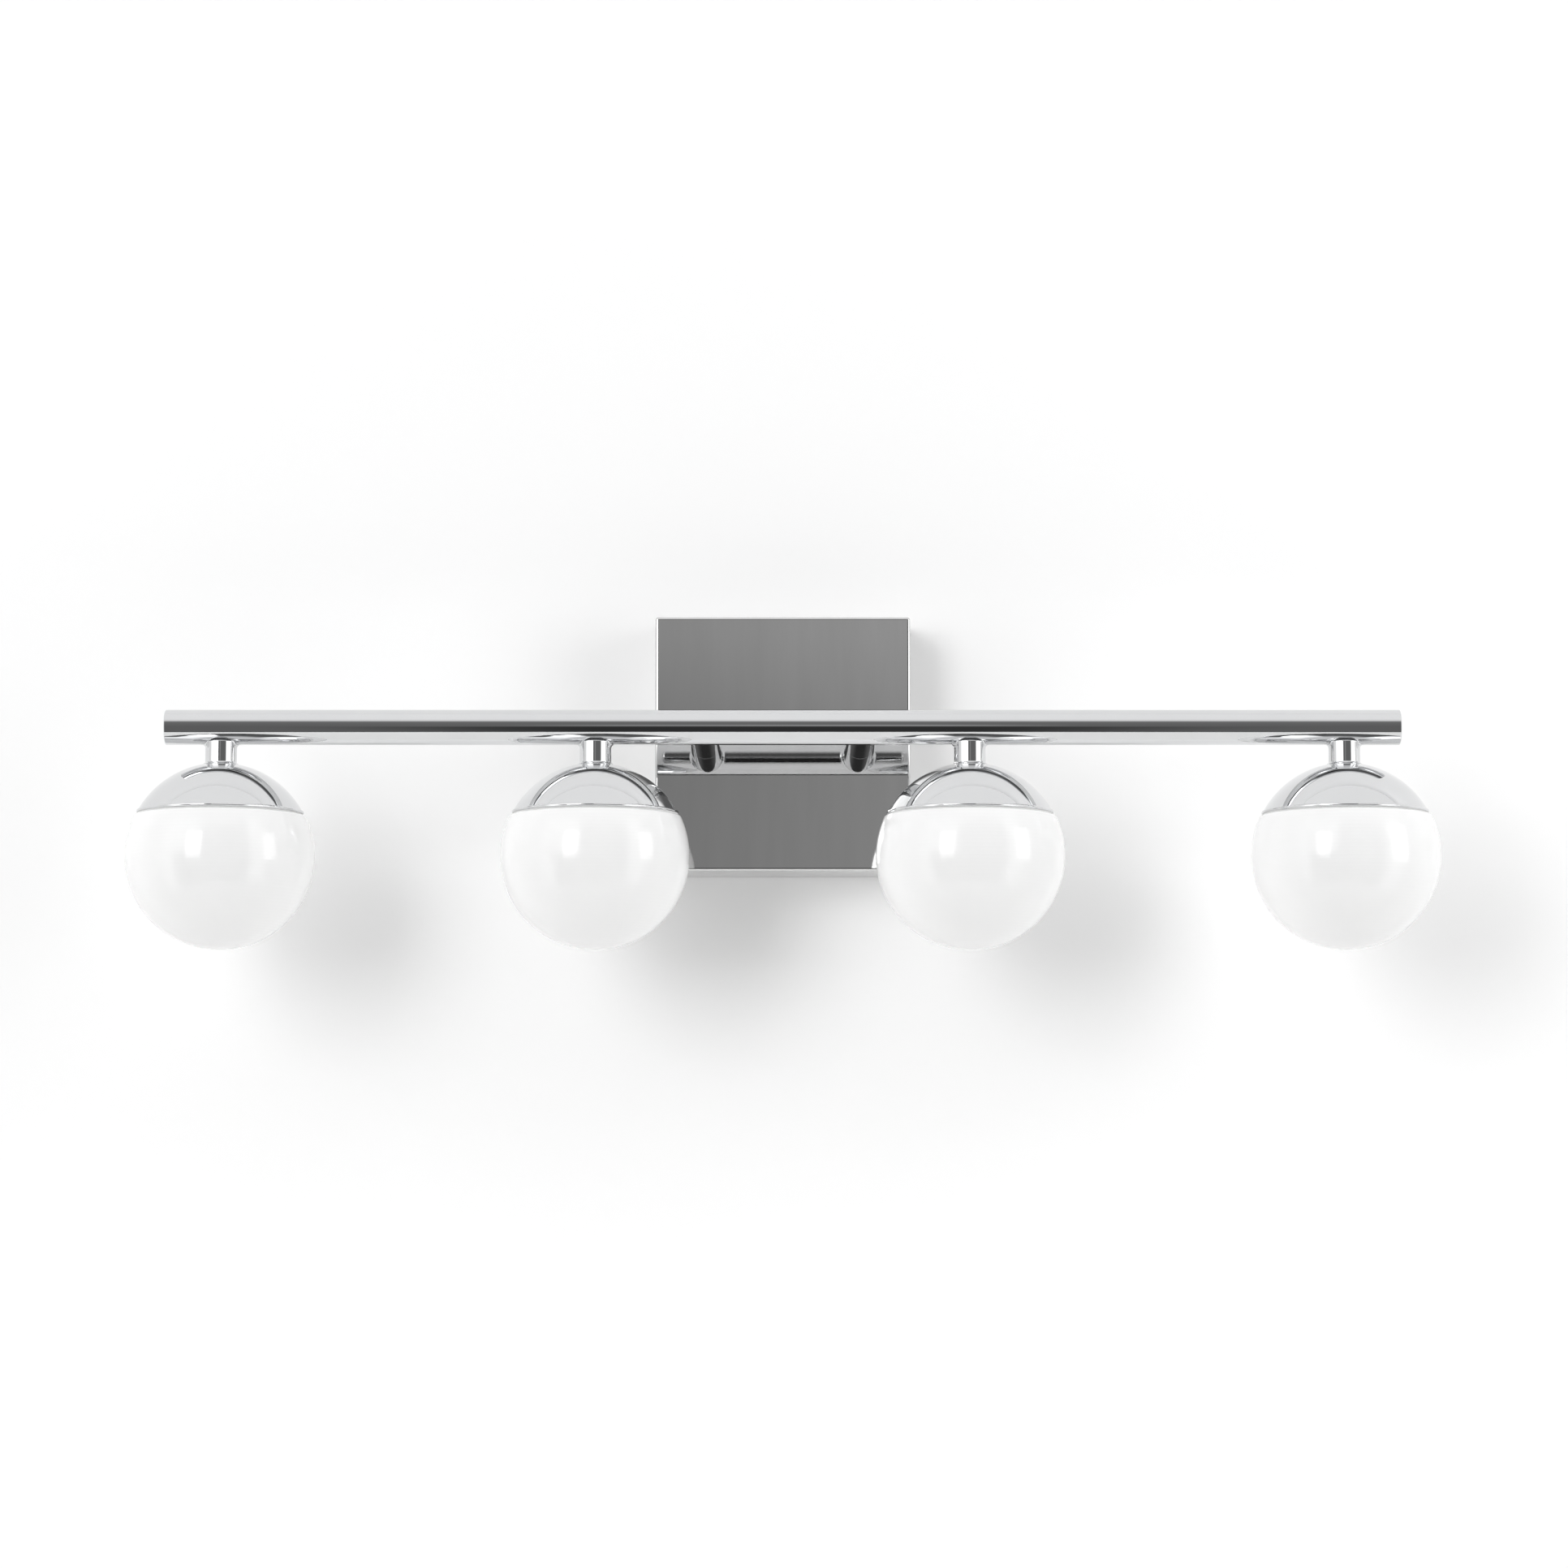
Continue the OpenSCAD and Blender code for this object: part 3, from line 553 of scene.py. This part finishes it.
def build_arms():
    length = CANOPY_LOW.y - BAR_AXIS.y
    foot = [(THREAD_HOLE_R, 0.0)] + arc((ARM_R - ARM_EDGE, ARM_EDGE), ARM_EDGE, -90, 0, 4)
    bore = [(ARM_BORE_R, 0.0), (ARM_BORE_R, ARM_SOLID_END), (WIRE_HOLE_R, ARM_SOLID_END),
            (WIRE_HOLE_R, THREAD_DEPTH), (THREAD_HOLE_R, THREAD_DEPTH)]
    for side, name in zip(SIDES, ("left", "right")):
        arm = branch(ARM_R, foot, bore, length, ARM_REACH)
        place = at(side * ARM_X, CANOPY_LOW.y, BAR_AXIS.z) @ INTO_ROOM
        piece(f"arm_{name}_filleted", arm, FIXTURE, "chrome", [f"arm_{name}"], place)


# ---- threaded nipples and nuts ----

THREAD_PITCH = 1.0 * MM
THREAD_RELIEF = 0.45 * MM
THREAD_SIDES = 40
THREAD_RINGS = 6               # in one pitch
THREAD_CHAMFER = 0.6 * MM
CHAMFER_SLOPE = 0.8
NIPPLE_BORE_R = 3.5 * MM
NUT_SIDES = 96
NUT_BEVEL = 0.25 * MM
NUT_FACE = 0.97                # radius of the flat face, as a share of half the flats
NUT_CORNER_SLOPE = math.tan(math.radians(60))
NUT_LEVELS = [0.0, 0.12 * MM, 0.25 * MM, 0.45 * MM, 0.7 * MM]
WASHER_ROUNDING = 0.3          # share of the washer's height


def threaded_tube(radius, length):
    """Tube along +Z with a screw thread cut into its outside and chamfered ends."""
    rings = [circle(NIPPLE_BORE_R, length, THREAD_SIDES), circle(NIPPLE_BORE_R, 0.0, THREAD_SIDES)]
    steps = round(length / THREAD_PITCH * THREAD_RINGS)
    for i in range(steps + 1):
        height = length * i / steps
        from_end = min(height, length - height)
        limit = radius - max(0.0, THREAD_CHAMFER - from_end) * CHAMFER_SLOPE

        def thread(angle):
            phase = (height / THREAD_PITCH - angle / (2 * math.pi)) % 1.0
            return min(limit, radius - THREAD_RELIEF * abs(2 * phase - 1))

        rings.append(ring_round(thread, height, THREAD_SIDES))
    return loft(rings, closed=True)


def hex_nut(flats, height, bore):
    """Hexagon nut along +Z, its corners turned off at 30 degrees."""
    half = flats / 2
    rings = [circle(bore + NUT_BEVEL, 0.0, NUT_SIDES)]
    for level in NUT_LEVELS + [height - rise for rise in reversed(NUT_LEVELS)]:
        limit = half * NUT_FACE + min(level, height - level) * NUT_CORNER_SLOPE

        def outline(angle):
            turned = (angle % (math.pi / 3)) - math.pi / 6
            return min(half / math.cos(turned), limit)

        rings.append(ring_round(outline, level, NUT_SIDES))
    for r, level in ((bore + NUT_BEVEL, height), (bore, height - NUT_BEVEL), (bore, NUT_BEVEL)):
        rings.append(circle(r, level, NUT_SIDES))
    return loft(rings, closed=True)


def washer(outer, bore, height):
    """Flat ring along +Z with rounded edges."""
    r = height * WASHER_ROUNDING
    profile = [(bore, r), (bore + r, 0.0), (outer - r, 0.0)] + arc((outer - r, r), r, -60, 0, 2)
    profile += arc((outer - r, height - r), r, 0, 90, 3) + [(bore + r, height), (bore, height - r)]
    return lathe(profile)


NIPPLE_R = 5.0 * MM
NUT_FLATS = 14.0 * MM
NUT_BORE = 5.0 * MM
NUT_GAP = 0.02 * MM
WASHER_R = 8.5 * MM
WASHER_HEIGHT = 0.8 * MM
NUT_HEIGHT = 3.0 * MM
JAM_NUT_HEIGHT = 2.5 * MM


def build_nipples():
    low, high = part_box("arm_nipples")
    tubes = [moved(threaded_tube(NIPPLE_R, high.y - low.y), at(side * ARM_X, low.y, 0) @ INTO_WALL)
             for side in SIDES]
    piece("arm_nipples_threaded", joined(tubes), FIXTURE, "zinc_steel", ["arm_nipples"])
    low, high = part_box("lamp_nipples")
    tubes = [moved(threaded_tube(NIPPLE_R, high.z - low.z), at(lamp_centre(n).x, BAR_AXIS.y, low.z))
             for n in LAMPS]
    piece("lamp_nipples_threaded", joined(tubes), FIXTURE, "zinc_steel", ["lamp_nipples"])


def build_nuts():
    low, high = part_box("arm_nuts")
    parts = []
    for side in SIDES:
        place = at(side * ARM_X, low.y, 0) @ INTO_WALL
        parts.append(moved(washer(WASHER_R, NUT_BORE, WASHER_HEIGHT), place))
        parts.append(moved(hex_nut(NUT_FLATS, NUT_HEIGHT, NUT_BORE), place @ at(0, 0, WASHER_HEIGHT)))
    jam_place = at(ARM_X, high.y - JAM_NUT_HEIGHT, 0) @ INTO_WALL
    parts.append(moved(hex_nut(NUT_FLATS, JAM_NUT_HEIGHT, NUT_BORE), jam_place))
    piece("arm_nuts_chamfered", joined(parts), FIXTURE, "zinc_steel", ["arm_nuts"])
    low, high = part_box("holder_nuts")
    parts = []
    for n in LAMPS:
        for height in (low.z, high.z - NUT_HEIGHT + NUT_GAP):
            nut = hex_nut(NUT_FLATS, NUT_HEIGHT - NUT_GAP, NUT_BORE)
            parts.append(moved(nut, at(lamp_centre(n).x, BAR_AXIS.y, height)))
    piece("holder_nuts_chamfered", joined(parts), FIXTURE, "zinc_steel", ["holder_nuts"])


# ---- wires and connectors ----

WIRE_R = 0.9 * MM
GROUND_WIRE_R = 0.6 * MM
WIRE_SIDES = 20
WIRE_END_R = 0.82              # radius of a wire's end face, as a share of the wire's radius
WIRE_END_ROUNDING = 0.2        # length of the rounding, as a share of the same radius
WIRE_BEND = 4.0 * MM
LEAST_LEGS = 2.1               # a bend takes up at most one part in this many of a leg
BEND_STEPS = 7
UPRIGHT = 0.7                  # a route that starts steeper than this counts as upright
WIRE_PITCH = 2.4 * MM
HALF_PITCH = WIRE_PITCH / 2
PIN_X = 4.5 * MM
CONTACT_TOP = 33.0 * MM
HOLDER_TOP = 35.0 * MM
SPLICE_X = 14.0 * MM
HOT_Y = -21.0 * MM
NEUTRAL_Y = -12.0 * MM
HOT, NEUTRAL = 1, -1
ABOVE_HOLDER = 1.2 * MM
BELOW_NIPPLE = 0.6 * MM
PAST_NIPPLE = 0.5 * MM
FAN_OUT = 3.0 * MM
BELOW_MOUTH = 4.0 * MM
INTO_CONNECTOR = 6.0 * MM


def rounded_path(points):
    """The route with each corner turned into a smooth curve."""
    path = [points[0]]
    for before, corner, after in zip(points, points[1:], points[2:]):
        back, ahead = before - corner, after - corner
        reach = min(WIRE_BEND, back.length / LEAST_LEGS, ahead.length / LEAST_LEGS)
        start = corner + back.normalized() * reach
        end = corner + ahead.normalized() * reach
        path += [curve(start, corner, end, i / BEND_STEPS) for i in range(BEND_STEPS + 1)]
    path.append(points[-1])
    return path


def wire(points, radius):
    """Round wire swept along a route, its ends slightly rounded."""
    path = rounded_path(points)
    last = len(path) - 1
    turns = [2 * math.pi * k / WIRE_SIDES for k in range(WIRE_SIDES)]
    starts_upright = abs((path[1] - path[0]).normalized().z) > UPRIGHT
    side = Vector((0, 1, 0)) if starts_upright else Vector((0, 0, 1))
    rings = []
    for i, point in enumerate(path):
        along = (path[min(i + 1, last)] - path[max(i - 1, 0)]).normalized()
        side = (side - along * side.dot(along)).normalized()
        across = along.cross(side)
        ring = [side * math.cos(a) + across * math.sin(a) for a in turns]
        end_ring = [point + radius * WIRE_END_R * v for v in ring]
        rounding = along * radius * WIRE_END_ROUNDING
        if i == 0:
            rings += [end_ring, [point + rounding + radius * v for v in ring]]
        elif i == last:
            rings += [[point - rounding + radius * v for v in ring], end_ring]
        else:
            rings.append([point + radius * v for v in ring])
    return loft(rings, capped=True)


def lead_route(n, level, splice_y):
    """Route of one lead of lamp n, as in the CAD: up the stem, along the bar to the nearer arm,
    through the arm and up to its splice. It is drawn on the right and mirrored to the left."""
    centre = lamp_centre(n)
    side = -1 if centre.x < 0 else 1
    x = abs(centre.x)
    spacing = lamp_centre(2).x - lamp_centre(1).x
    outer = x > spacing
    lane = 1 if outer else -1
    riser_x = x + level * HALF_PITCH
    arm_lane_x = ARM_X + lane * HALF_PITCH
    bar_y = BAR_AXIS.y
    run_y = bar_y + (WIRE_PITCH if outer else 0.0)
    z = level * HALF_PITCH
    nipple_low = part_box("lamp_nipples")[0].z
    nipple_end_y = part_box("arm_nipples")[1].y
    mouth_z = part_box("wire_connectors")[0].z
    end_x = side * -level * SPLICE_X + HALF_PITCH
    end_y = splice_y + lane * HALF_PITCH
    points = [(x + level * PIN_X, bar_y, centre.z + CONTACT_TOP),
              (x + level * PIN_X, bar_y, centre.z + HOLDER_TOP + ABOVE_HOLDER),
              (riser_x, bar_y, nipple_low - BELOW_NIPPLE),
              (riser_x, bar_y, z)]
    if outer:
        points.append((riser_x, run_y, z))
    points += [(arm_lane_x, run_y, z),
               (arm_lane_x, nipple_end_y + PAST_NIPPLE, z),
               (arm_lane_x, end_y, z + level * FAN_OUT),
               (end_x, end_y, mouth_z - BELOW_MOUTH),
               (end_x, end_y, mouth_z + INTO_CONNECTOR)]
    return [Vector((side * px, py, pz)) for px, py, pz in points]


BARREL_R = 1.1 * MM
BARREL_LENGTH = 4.0 * MM
BARREL_RISE = 1.25 * MM
NECK = 1.0 * MM
LUG_EDGE = 0.2 * MM
GROUND_STRAIGHT = 5.0 * MM
GROUND_SAG = 11.0 * MM
ARM_LUG_R = 8.0 * MM
SCREW_LUG_R = 4.5 * MM
SCREW_BORE_R = 2.02 * MM
GROUND_X = 16.0 * MM
BRACKET_FACE_Y = -2.0 * MM


def barrel_end(outer):
    """How far from a lug's centre its wire starts."""
    return outer + NECK + BARREL_LENGTH


def crimped_lug(outer, bore):
    """Ring along +Z with a flat neck that turns into a round barrel towards -Y."""
    half_sheet = WASHER_HEIGHT / 2
    sections = [(outer - NECK, NECK, half_sheet - MERGE, half_sheet),
                (outer + LUG_EDGE, NECK, half_sheet - MERGE, half_sheet),
                (outer + NECK, BARREL_R, BARREL_R, BARREL_RISE),
                (barrel_end(outer) - LUG_EDGE, BARREL_R, BARREL_R, BARREL_RISE),
                (barrel_end(outer), BARREL_R - LUG_EDGE, BARREL_R - LUG_EDGE, BARREL_RISE)]
    unit_ring = circle(1.0, 0.0, WIRE_SIDES)
    rings = []
    for out, half_width, half_height, rise in sections:
        rings.append([Vector((v.x * half_width, -out, rise + v.y * half_height)) for v in unit_ring])
    return joined([washer(outer, bore, WASHER_HEIGHT), loft(rings, capped=True)])


def build_ground_lead():
    """Green bonding wire from a lug under the right arm's thin nut to one under the ground screw."""
    lug_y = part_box("arm_nuts")[0].y + WASHER_HEIGHT + NUT_HEIGHT
    wire_start = Vector((ARM_X, lug_y + BARREL_RISE, -barrel_end(ARM_LUG_R)))
    wire_end = Vector((GROUND_X, BRACKET_FACE_Y - BARREL_RISE, -barrel_end(SCREW_LUG_R)))
    below = Vector((0, 0, -GROUND_STRAIGHT))
    loop = (wire_start + wire_end) / 2
    loop.z = wire_start.z - GROUND_SAG
    route = [wire_start, wire_start + below, loop, wire_end + 2 * below, wire_end]
    piece("ground_lead_smooth", wire(route, GROUND_WIRE_R), FIXTURE, "green_wire", ["ground_lead"])
    turned_down = Matrix.Rotation(math.pi, 4, "Y") @ INTO_WALL
    lugs = [moved(crimped_lug(ARM_LUG_R, THREAD_HOLE_R), at(ARM_X, lug_y, 0) @ turned_down),
            moved(crimped_lug(SCREW_LUG_R, SCREW_BORE_R), at(GROUND_X, BRACKET_FACE_Y, 0) @ INTO_ROOM)]
    piece("ground_lugs_crimped", joined(lugs), FIXTURE, "zinc_steel", ["ground_lead"])


def build_leads():
    for name, level, splice_y, colour in (("hot", HOT, HOT_Y, "black_wire"),
                                          ("neutral", NEUTRAL, NEUTRAL_Y, "white_wire")):
        wires = [wire(lead_route(n, level, splice_y), WIRE_R) for n in LAMPS]
        piece(f"leads_{name}_smooth", joined(wires), FIXTURE, colour, [f"leads_{name}"])


CONNECTOR_SIDES = 144
CONNECTOR_RIBS = 18
RIB_DEPTH = 0.45 * MM
WING_DEPTH = 1.1 * MM
WING_FADE = 1.6                # the wings end at one part in this many of the cone
WING_SHARPNESS = 40
CONE_STEPS = 14
CONE_LOW = 2.7 * MM
CONE_HEIGHT = 14.6 * MM
CONE_LOW_R = 5.3 * MM
CONE_NARROWING = 1.5 * MM
# (radius, height) in mm, from the bore's top round the flange
CONNECTOR_MOUTH = ((3.2, 15.0), (3.2, 0.4), (3.6, 0.0), (6.1, 0.0), (6.4, 0.3), (6.4, 2.2), (6.2, 2.5))
CONNECTOR_DOME = arc((2.3, 18.0), 1.5, 0, 90, 6)


def connector():
    """Twist-on connector along +Z: plain flange, ribbed cone, two wings and a domed, closed top."""
    rings = [circle(r * MM, h * MM, CONNECTOR_SIDES) for r, h in CONNECTOR_MOUTH]
    for i in range(CONE_STEPS + 1):
        t = i / CONE_STEPS
        radius = CONE_LOW_R - CONE_NARROWING * t
        rib = RIB_DEPTH * math.sin(math.pi * min(1.0, 4 * t, 4 * (1 - t)) / 2)
        wing = WING_DEPTH * max(0.0, 1 - WING_FADE * t) ** 0.5

        def outline(angle):
            ribbed = radius - rib * (0.5 - 0.5 * math.cos(CONNECTOR_RIBS * angle))
            return ribbed + wing * abs(math.cos(angle)) ** WING_SHARPNESS

        rings.append(ring_round(outline, CONE_LOW + CONE_HEIGHT * t, CONNECTOR_SIDES))
    rings += [circle(r * MM, h * MM, CONNECTOR_SIDES) for r, h in CONNECTOR_DOME]
    return loft(rings, capped=True)


def build_connectors():
    mouth_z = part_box("wire_connectors")[0].z
    parts = [moved(connector(), at(x, y, mouth_z))
             for x, y in ((-SPLICE_X, HOT_Y), (SPLICE_X, NEUTRAL_Y))]
    piece("wire_connectors_ribbed", joined(parts), FIXTURE, "connector_plastic", ["wire_connectors"])


# ---- bulbs ----

BULB_R = 6.8 * MM
BULB_WALL = 0.9 * MM
BULB_NECK_R = 5.6 * MM
BULB_SIDES = 72
BULB_ARC_STEPS = 14
SHOULDER_DROP = 5.0 * MM       # the capsule starts to narrow this far below its top
NECK_DROP = 1.4 * MM
NUB = 0.7 * MM
NUB_PROFILE = [(0.0, 0.0), (0.66 * MM, 0.1 * MM), (1.1 * MM, 0.55 * MM), (1.65 * MM, 0.86 * MM)]


def bulb_profile(top):
    """(radius, height) points of a capsule's glass, from the nub up the outside and down the inside."""
    middle = (0.0, BULB_R + NUB)
    inner_r = BULB_R - BULB_WALL
    neck_inner_r = BULB_NECK_R - BULB_WALL
    outside = NUB_PROFILE + arc(middle, BULB_R, -72, 0, BULB_ARC_STEPS)
    outside += [(BULB_R, top - SHOULDER_DROP), (BULB_R - 0.25 * MM, top - 3.4 * MM),
                (BULB_NECK_R + 0.2 * MM, top - NECK_DROP), (BULB_NECK_R, top)]
    inside = [(neck_inner_r, top), (neck_inner_r, top - NECK_DROP), (inner_r, top - SHOULDER_DROP)]
    inside += arc(middle, inner_r, 0, -84, BULB_ARC_STEPS) + [(0.0, NUB + BULB_WALL)]
    return outside + inside


def build_bulb_glasses():
    """Round-ended capsules, drawn in towards the base, with the small nub left by sealing."""
    for n in LAMPS:
        low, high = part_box(f"bulb_glass_{n}")
        glass = lathe(bulb_profile(high.z - low.z), BULB_SIDES, closed=False)
        place = at(lamp_centre(n).x, BAR_AXIS.y, low.z)
        piece(f"bulb_glass_{n}_drawn", glass, f"bulb_{n}", "bulb_frosted_glass", [f"bulb_glass_{n}"], place)


# ---- pieces whose CAD edges only need rounding ----

CAD_MERGE = 0.001 * MM
FLAT_ENOUGH = math.radians(0.8)
EDGE_TO_ROUND = math.radians(40)
ROUNDING_STEPS = 2


def soften(node, width):
    """Replaces a CAD node with a copy that has its sharp edges rounded off by width."""
    mesh = bmesh.new()
    mesh.from_mesh(frame["nodes"][node].data)
    bmesh.ops.remove_doubles(mesh, verts=mesh.verts, dist=CAD_MERGE)
    bmesh.ops.dissolve_limit(mesh, angle_limit=FLAT_ENOUGH, verts=mesh.verts, edges=mesh.edges)
    obj = piece(f"{node}_rounded", mesh, frame["nodes"][node]["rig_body"], SLOT_OF[node], [node])
    bevel = obj.modifiers.new("rounded edges", "BEVEL")
    bevel.limit_method = "ANGLE"
    bevel.angle_limit = EDGE_TO_ROUND
    bevel.width = width
    bevel.segments = ROUNDING_STEPS
    bevel.use_clamp_overlap = True
    obj.modifiers.move(1, 0)   # the rounding comes before the weighted normals


# widths of the rounding in mm
SOFT_EDGES = {"wall_bracket": 0.25, "canopy_screws": 0.1}
SOFT_LAMP_EDGES = {"holder_bracket": 0.12, "lampholder": 0.4, "shade_spring": 0.1, "bulb_base": 0.35}


def build_softened():
    for node, width in SOFT_EDGES.items():
        soften(node, width * MM)
    for family, width in SOFT_LAMP_EDGES.items():
        for n in LAMPS:
            soften(f"{family}_{n}", width * MM)


# ---- the room ----

WALL_Y = 0.0004
WALL_WIDTH = 9.0
WALL_HEIGHT = 7.0
HOLE_MARGIN = 3.0 * MM
FLOOR_Z = -1.25
FLOOR_R = 1.78
FLOOR_SIDES = 96


def plain_surface(name, colour, one_sided=False):
    """Pale painted surface with the slightest mottling; one_sided lets light through from behind."""
    material, n, inputs = finish_material(name, colour, Roughness=0.9)
    mottle = n.noise(n.place(), 3.0, 3.0)
    n.feed(inputs["Base Color"], n.tint(mottle, colour, scaled(colour, 0.985)))
    if one_sided:
        shader = material.node_tree.nodes["Principled BSDF"]
        output = material.node_tree.nodes["Material Output"]
        mix = n.add("ShaderNodeMixShader")
        n.feed(mix.inputs["Fac"], n.add("ShaderNodeNewGeometry").outputs["Backfacing"])
        n.feed(mix.inputs[1], shader.outputs["BSDF"])
        n.feed(mix.inputs[2], n.add("ShaderNodeBsdfTransparent").outputs["BSDF"])
        n.feed(output.inputs["Surface"], mix.outputs["Shader"])
    return material


def build_room():
    """A white wall behind the fixture, open to views from behind, and a pale floor.
    The wall has a hole behind the canopy, as the outlet box needs."""
    side = WALL_WIDTH / 2
    low = FLOOR_Z
    high = FLOOR_Z + WALL_HEIGHT
    hole = -CANOPY_LOW.x - HOLE_MARGIN
    wall_corners = ((-side, low), (side, low), (side, high), (-side, high))
    hole_corners = ((-hole, -hole), (hole, -hole), (hole, hole), (-hole, hole))
    wall = bmesh.new()
    outer = [wall.verts.new((x, WALL_Y, z)) for x, z in wall_corners]
    inner = [wall.verts.new((x, WALL_Y, z)) for x, z in hole_corners]
    for i in range(4):
        j = (i + 1) % 4
        wall.faces.new((outer[i], outer[j], inner[j], inner[i]))
    new_object("wall", wall, plain_surface("wall_paint", (0.96, 0.96, 0.96), one_sided=True))
    floor = bmesh.new()
    bmesh.ops.create_circle(floor, cap_ends=True, segments=FLOOR_SIDES, radius=FLOOR_R)
    floor.transform(at(0, 0, FLOOR_Z))
    new_object("floor", floor, plain_surface("floor_paint", (0.85, 0.85, 0.845)))


# ---- light ----

# Strengths of the studio's parts. The front, left and right of the opening, is the brightest.
LIGHT_ROOM = 1.95
SIDES_AND_BACK = 0.92
CEILING = 1.03
BACKDROP = 0.90                # as the camera sees the world itself
DARK_ROOM = 0.145
DARK_ROOM_HIGH = 1.3 * DARK_ROOM
DARKEST = 0.035
GLOW_LOW, GLOW_HIGH = 0.30, 0.40
GLOW_TILT = 0.03

# Where they are, in degrees from straight in front of the object; right and up are positive.
# An area is ((left, softness, right, softness), (low, softness, high, softness)): the dim room behind
# the camera, the dark floor left of it, the camera's stand and a faint light over the camera.
OPENING = ((-16, 5, 44, 5), (-42, 6, 39, 12))
LOW_LEFT = ((-52, 7, -14, 4), (-40, 6, 1, 4))
STAND = ((-5, 2.5, 5, 2.5), (-34, 4, -2, 3))
GLOW = ((-3, 1.2, 3, 1.2), (2.6, 1.2, 10.0, 1.5))

# A change from one strength to another lies between two angles.
SIDES_FROM = (56, 76)
CEILING_FROM = (30, 48)
DARK_ROOM_RISE = (0, 26)
GLOW_RISE = (6.5, 8.0)
GLOW_ACROSS = (-1.5, 1.5)


def ramp(n, value, degrees, low, high, smooth=True):
    """low below the first of two angles, high above the second."""
    start, end = (math.radians(angle) for angle in degrees)
    return n.remap(value, start, end, low, high, smooth)


def window(n, value, low, low_soft, high, high_soft):
    """1 where value is between low and high, in degrees, with soft edges as wide as given."""
    rise = ramp(n, value, (low - low_soft, low + low_soft), 0.0, 1.0)
    fall = ramp(n, value, (high - high_soft, high + high_soft), 1.0, 0.0)
    return n.math("MULTIPLY", rise, fall)


def build_world():
    """A white tent of light with a dim opening in front, where the camera stands."""
    world = bpy.data.worlds.new("studio")
    world.use_nodes = True
    bpy.context.scene.world = world
    n = Nodes(world.node_tree)
    split = n.add("ShaderNodeSeparateXYZ")
    n.feed(split.inputs[0], n.add("ShaderNodeTexCoord").outputs["Generated"])
    azimuth = n.math("ARCTAN2", split.outputs["X"], n.math("MULTIPLY", split.outputs["Y"], -1.0))
    elevation = n.math("ARCSINE", split.outputs["Z"])

    def area(azimuths, elevations):
        return n.math("MULTIPLY", window(n, azimuth, *azimuths), window(n, elevation, *elevations))

    def shade(level, mask, target):
        """level, moved to target where mask is 1."""
        return n.math("ADD", level, n.math("MULTIPLY", mask, n.math("SUBTRACT", target, level)))

    dark_level = ramp(n, elevation, DARK_ROOM_RISE, DARK_ROOM, DARK_ROOM_HIGH, smooth=False)
    glow_level = n.math("ADD", ramp(n, elevation, GLOW_RISE, GLOW_LOW, GLOW_HIGH, smooth=False),
                        ramp(n, azimuth, GLOW_ACROSS, -GLOW_TILT, GLOW_TILT, smooth=False))
    level = ramp(n, n.math("ABSOLUTE", azimuth), SIDES_FROM, LIGHT_ROOM, SIDES_AND_BACK)
    level = shade(level, ramp(n, elevation, CEILING_FROM, 0.0, 1.0), CEILING)
    level = shade(level, area(*OPENING), dark_level)
    level = shade(level, area(*LOW_LEFT), DARK_ROOM)
    level = shade(level, area(*STAND), DARKEST)
    level = shade(level, area(*GLOW), glow_level)
    seen = n.add("ShaderNodeLightPath").outputs["Is Camera Ray"]
    background = world.node_tree.nodes["Background"]
    background.inputs["Color"].default_value = (1.0, 1.0, 1.0, 1.0)
    n.feed(background.inputs["Strength"], shade(level, seen, BACKDROP))


# name: degrees to the right, degrees up, distance, width, height, radiance
SOFTBOXES = {
    "key_softbox": (-29.2, 8.5, 3.3, 1.05, 1.70, 4.0),
    "side_softbox": (66, 7, 1.8, 0.61, 0.96, 2.9),
}


def softbox(name, azimuth, elevation, distance, width, height, radiance):
    """A rectangular light aimed at the bar; angles are seen from the bar, 0 is straight in front."""
    light = bpy.data.lights.new(name, "AREA")
    light.shape = "RECTANGLE"
    light.size = width
    light.size_y = height
    light.energy = radiance * math.pi * width * height
    obj = bpy.data.objects.new(name, light)
    az, el = math.radians(azimuth), math.radians(elevation)
    away = Vector((math.sin(az) * math.cos(el), -math.cos(az) * math.cos(el), math.sin(el)))
    obj.location = BAR_AXIS + away * distance
    obj.rotation_euler = away.to_track_quat("Z", "Y").to_euler()
    obj.visible_camera = False
    bpy.context.scene.collection.objects.link(obj)


def build_lights():
    build_world()
    for name, settings in SOFTBOXES.items():
        softbox(name, *settings)


# ---- camera ----

CAMERA_X = 0.0007
CAMERA_FROM = Vector((CAMERA_X, -2.40, -0.270))
CAMERA_TO = Vector((CAMERA_X, BAR_AXIS.y, -0.0307))
VIEW_ANGLE = math.radians(20.86)
CLIP_START = 0.01


def build_camera():
    camera = bpy.data.cameras.new("camera")
    camera.sensor_fit = "HORIZONTAL"
    camera.angle = VIEW_ANGLE
    camera.clip_start = CLIP_START
    obj = bpy.data.objects.new("camera", camera)
    obj.location = CAMERA_FROM
    obj.rotation_euler = (CAMERA_FROM - CAMERA_TO).to_track_quat("Z", "Y").to_euler()
    bpy.context.scene.collection.objects.link(obj)
    bpy.context.scene.camera = obj


dress_cad_nodes()
build_stems()
build_arms()
build_nipples()
build_nuts()
build_leads()
build_ground_lead()
build_connectors()
build_bulb_glasses()
build_softened()
build_room()
build_lights()
build_camera()
bpy.context.scene.view_settings.view_transform = "Standard"
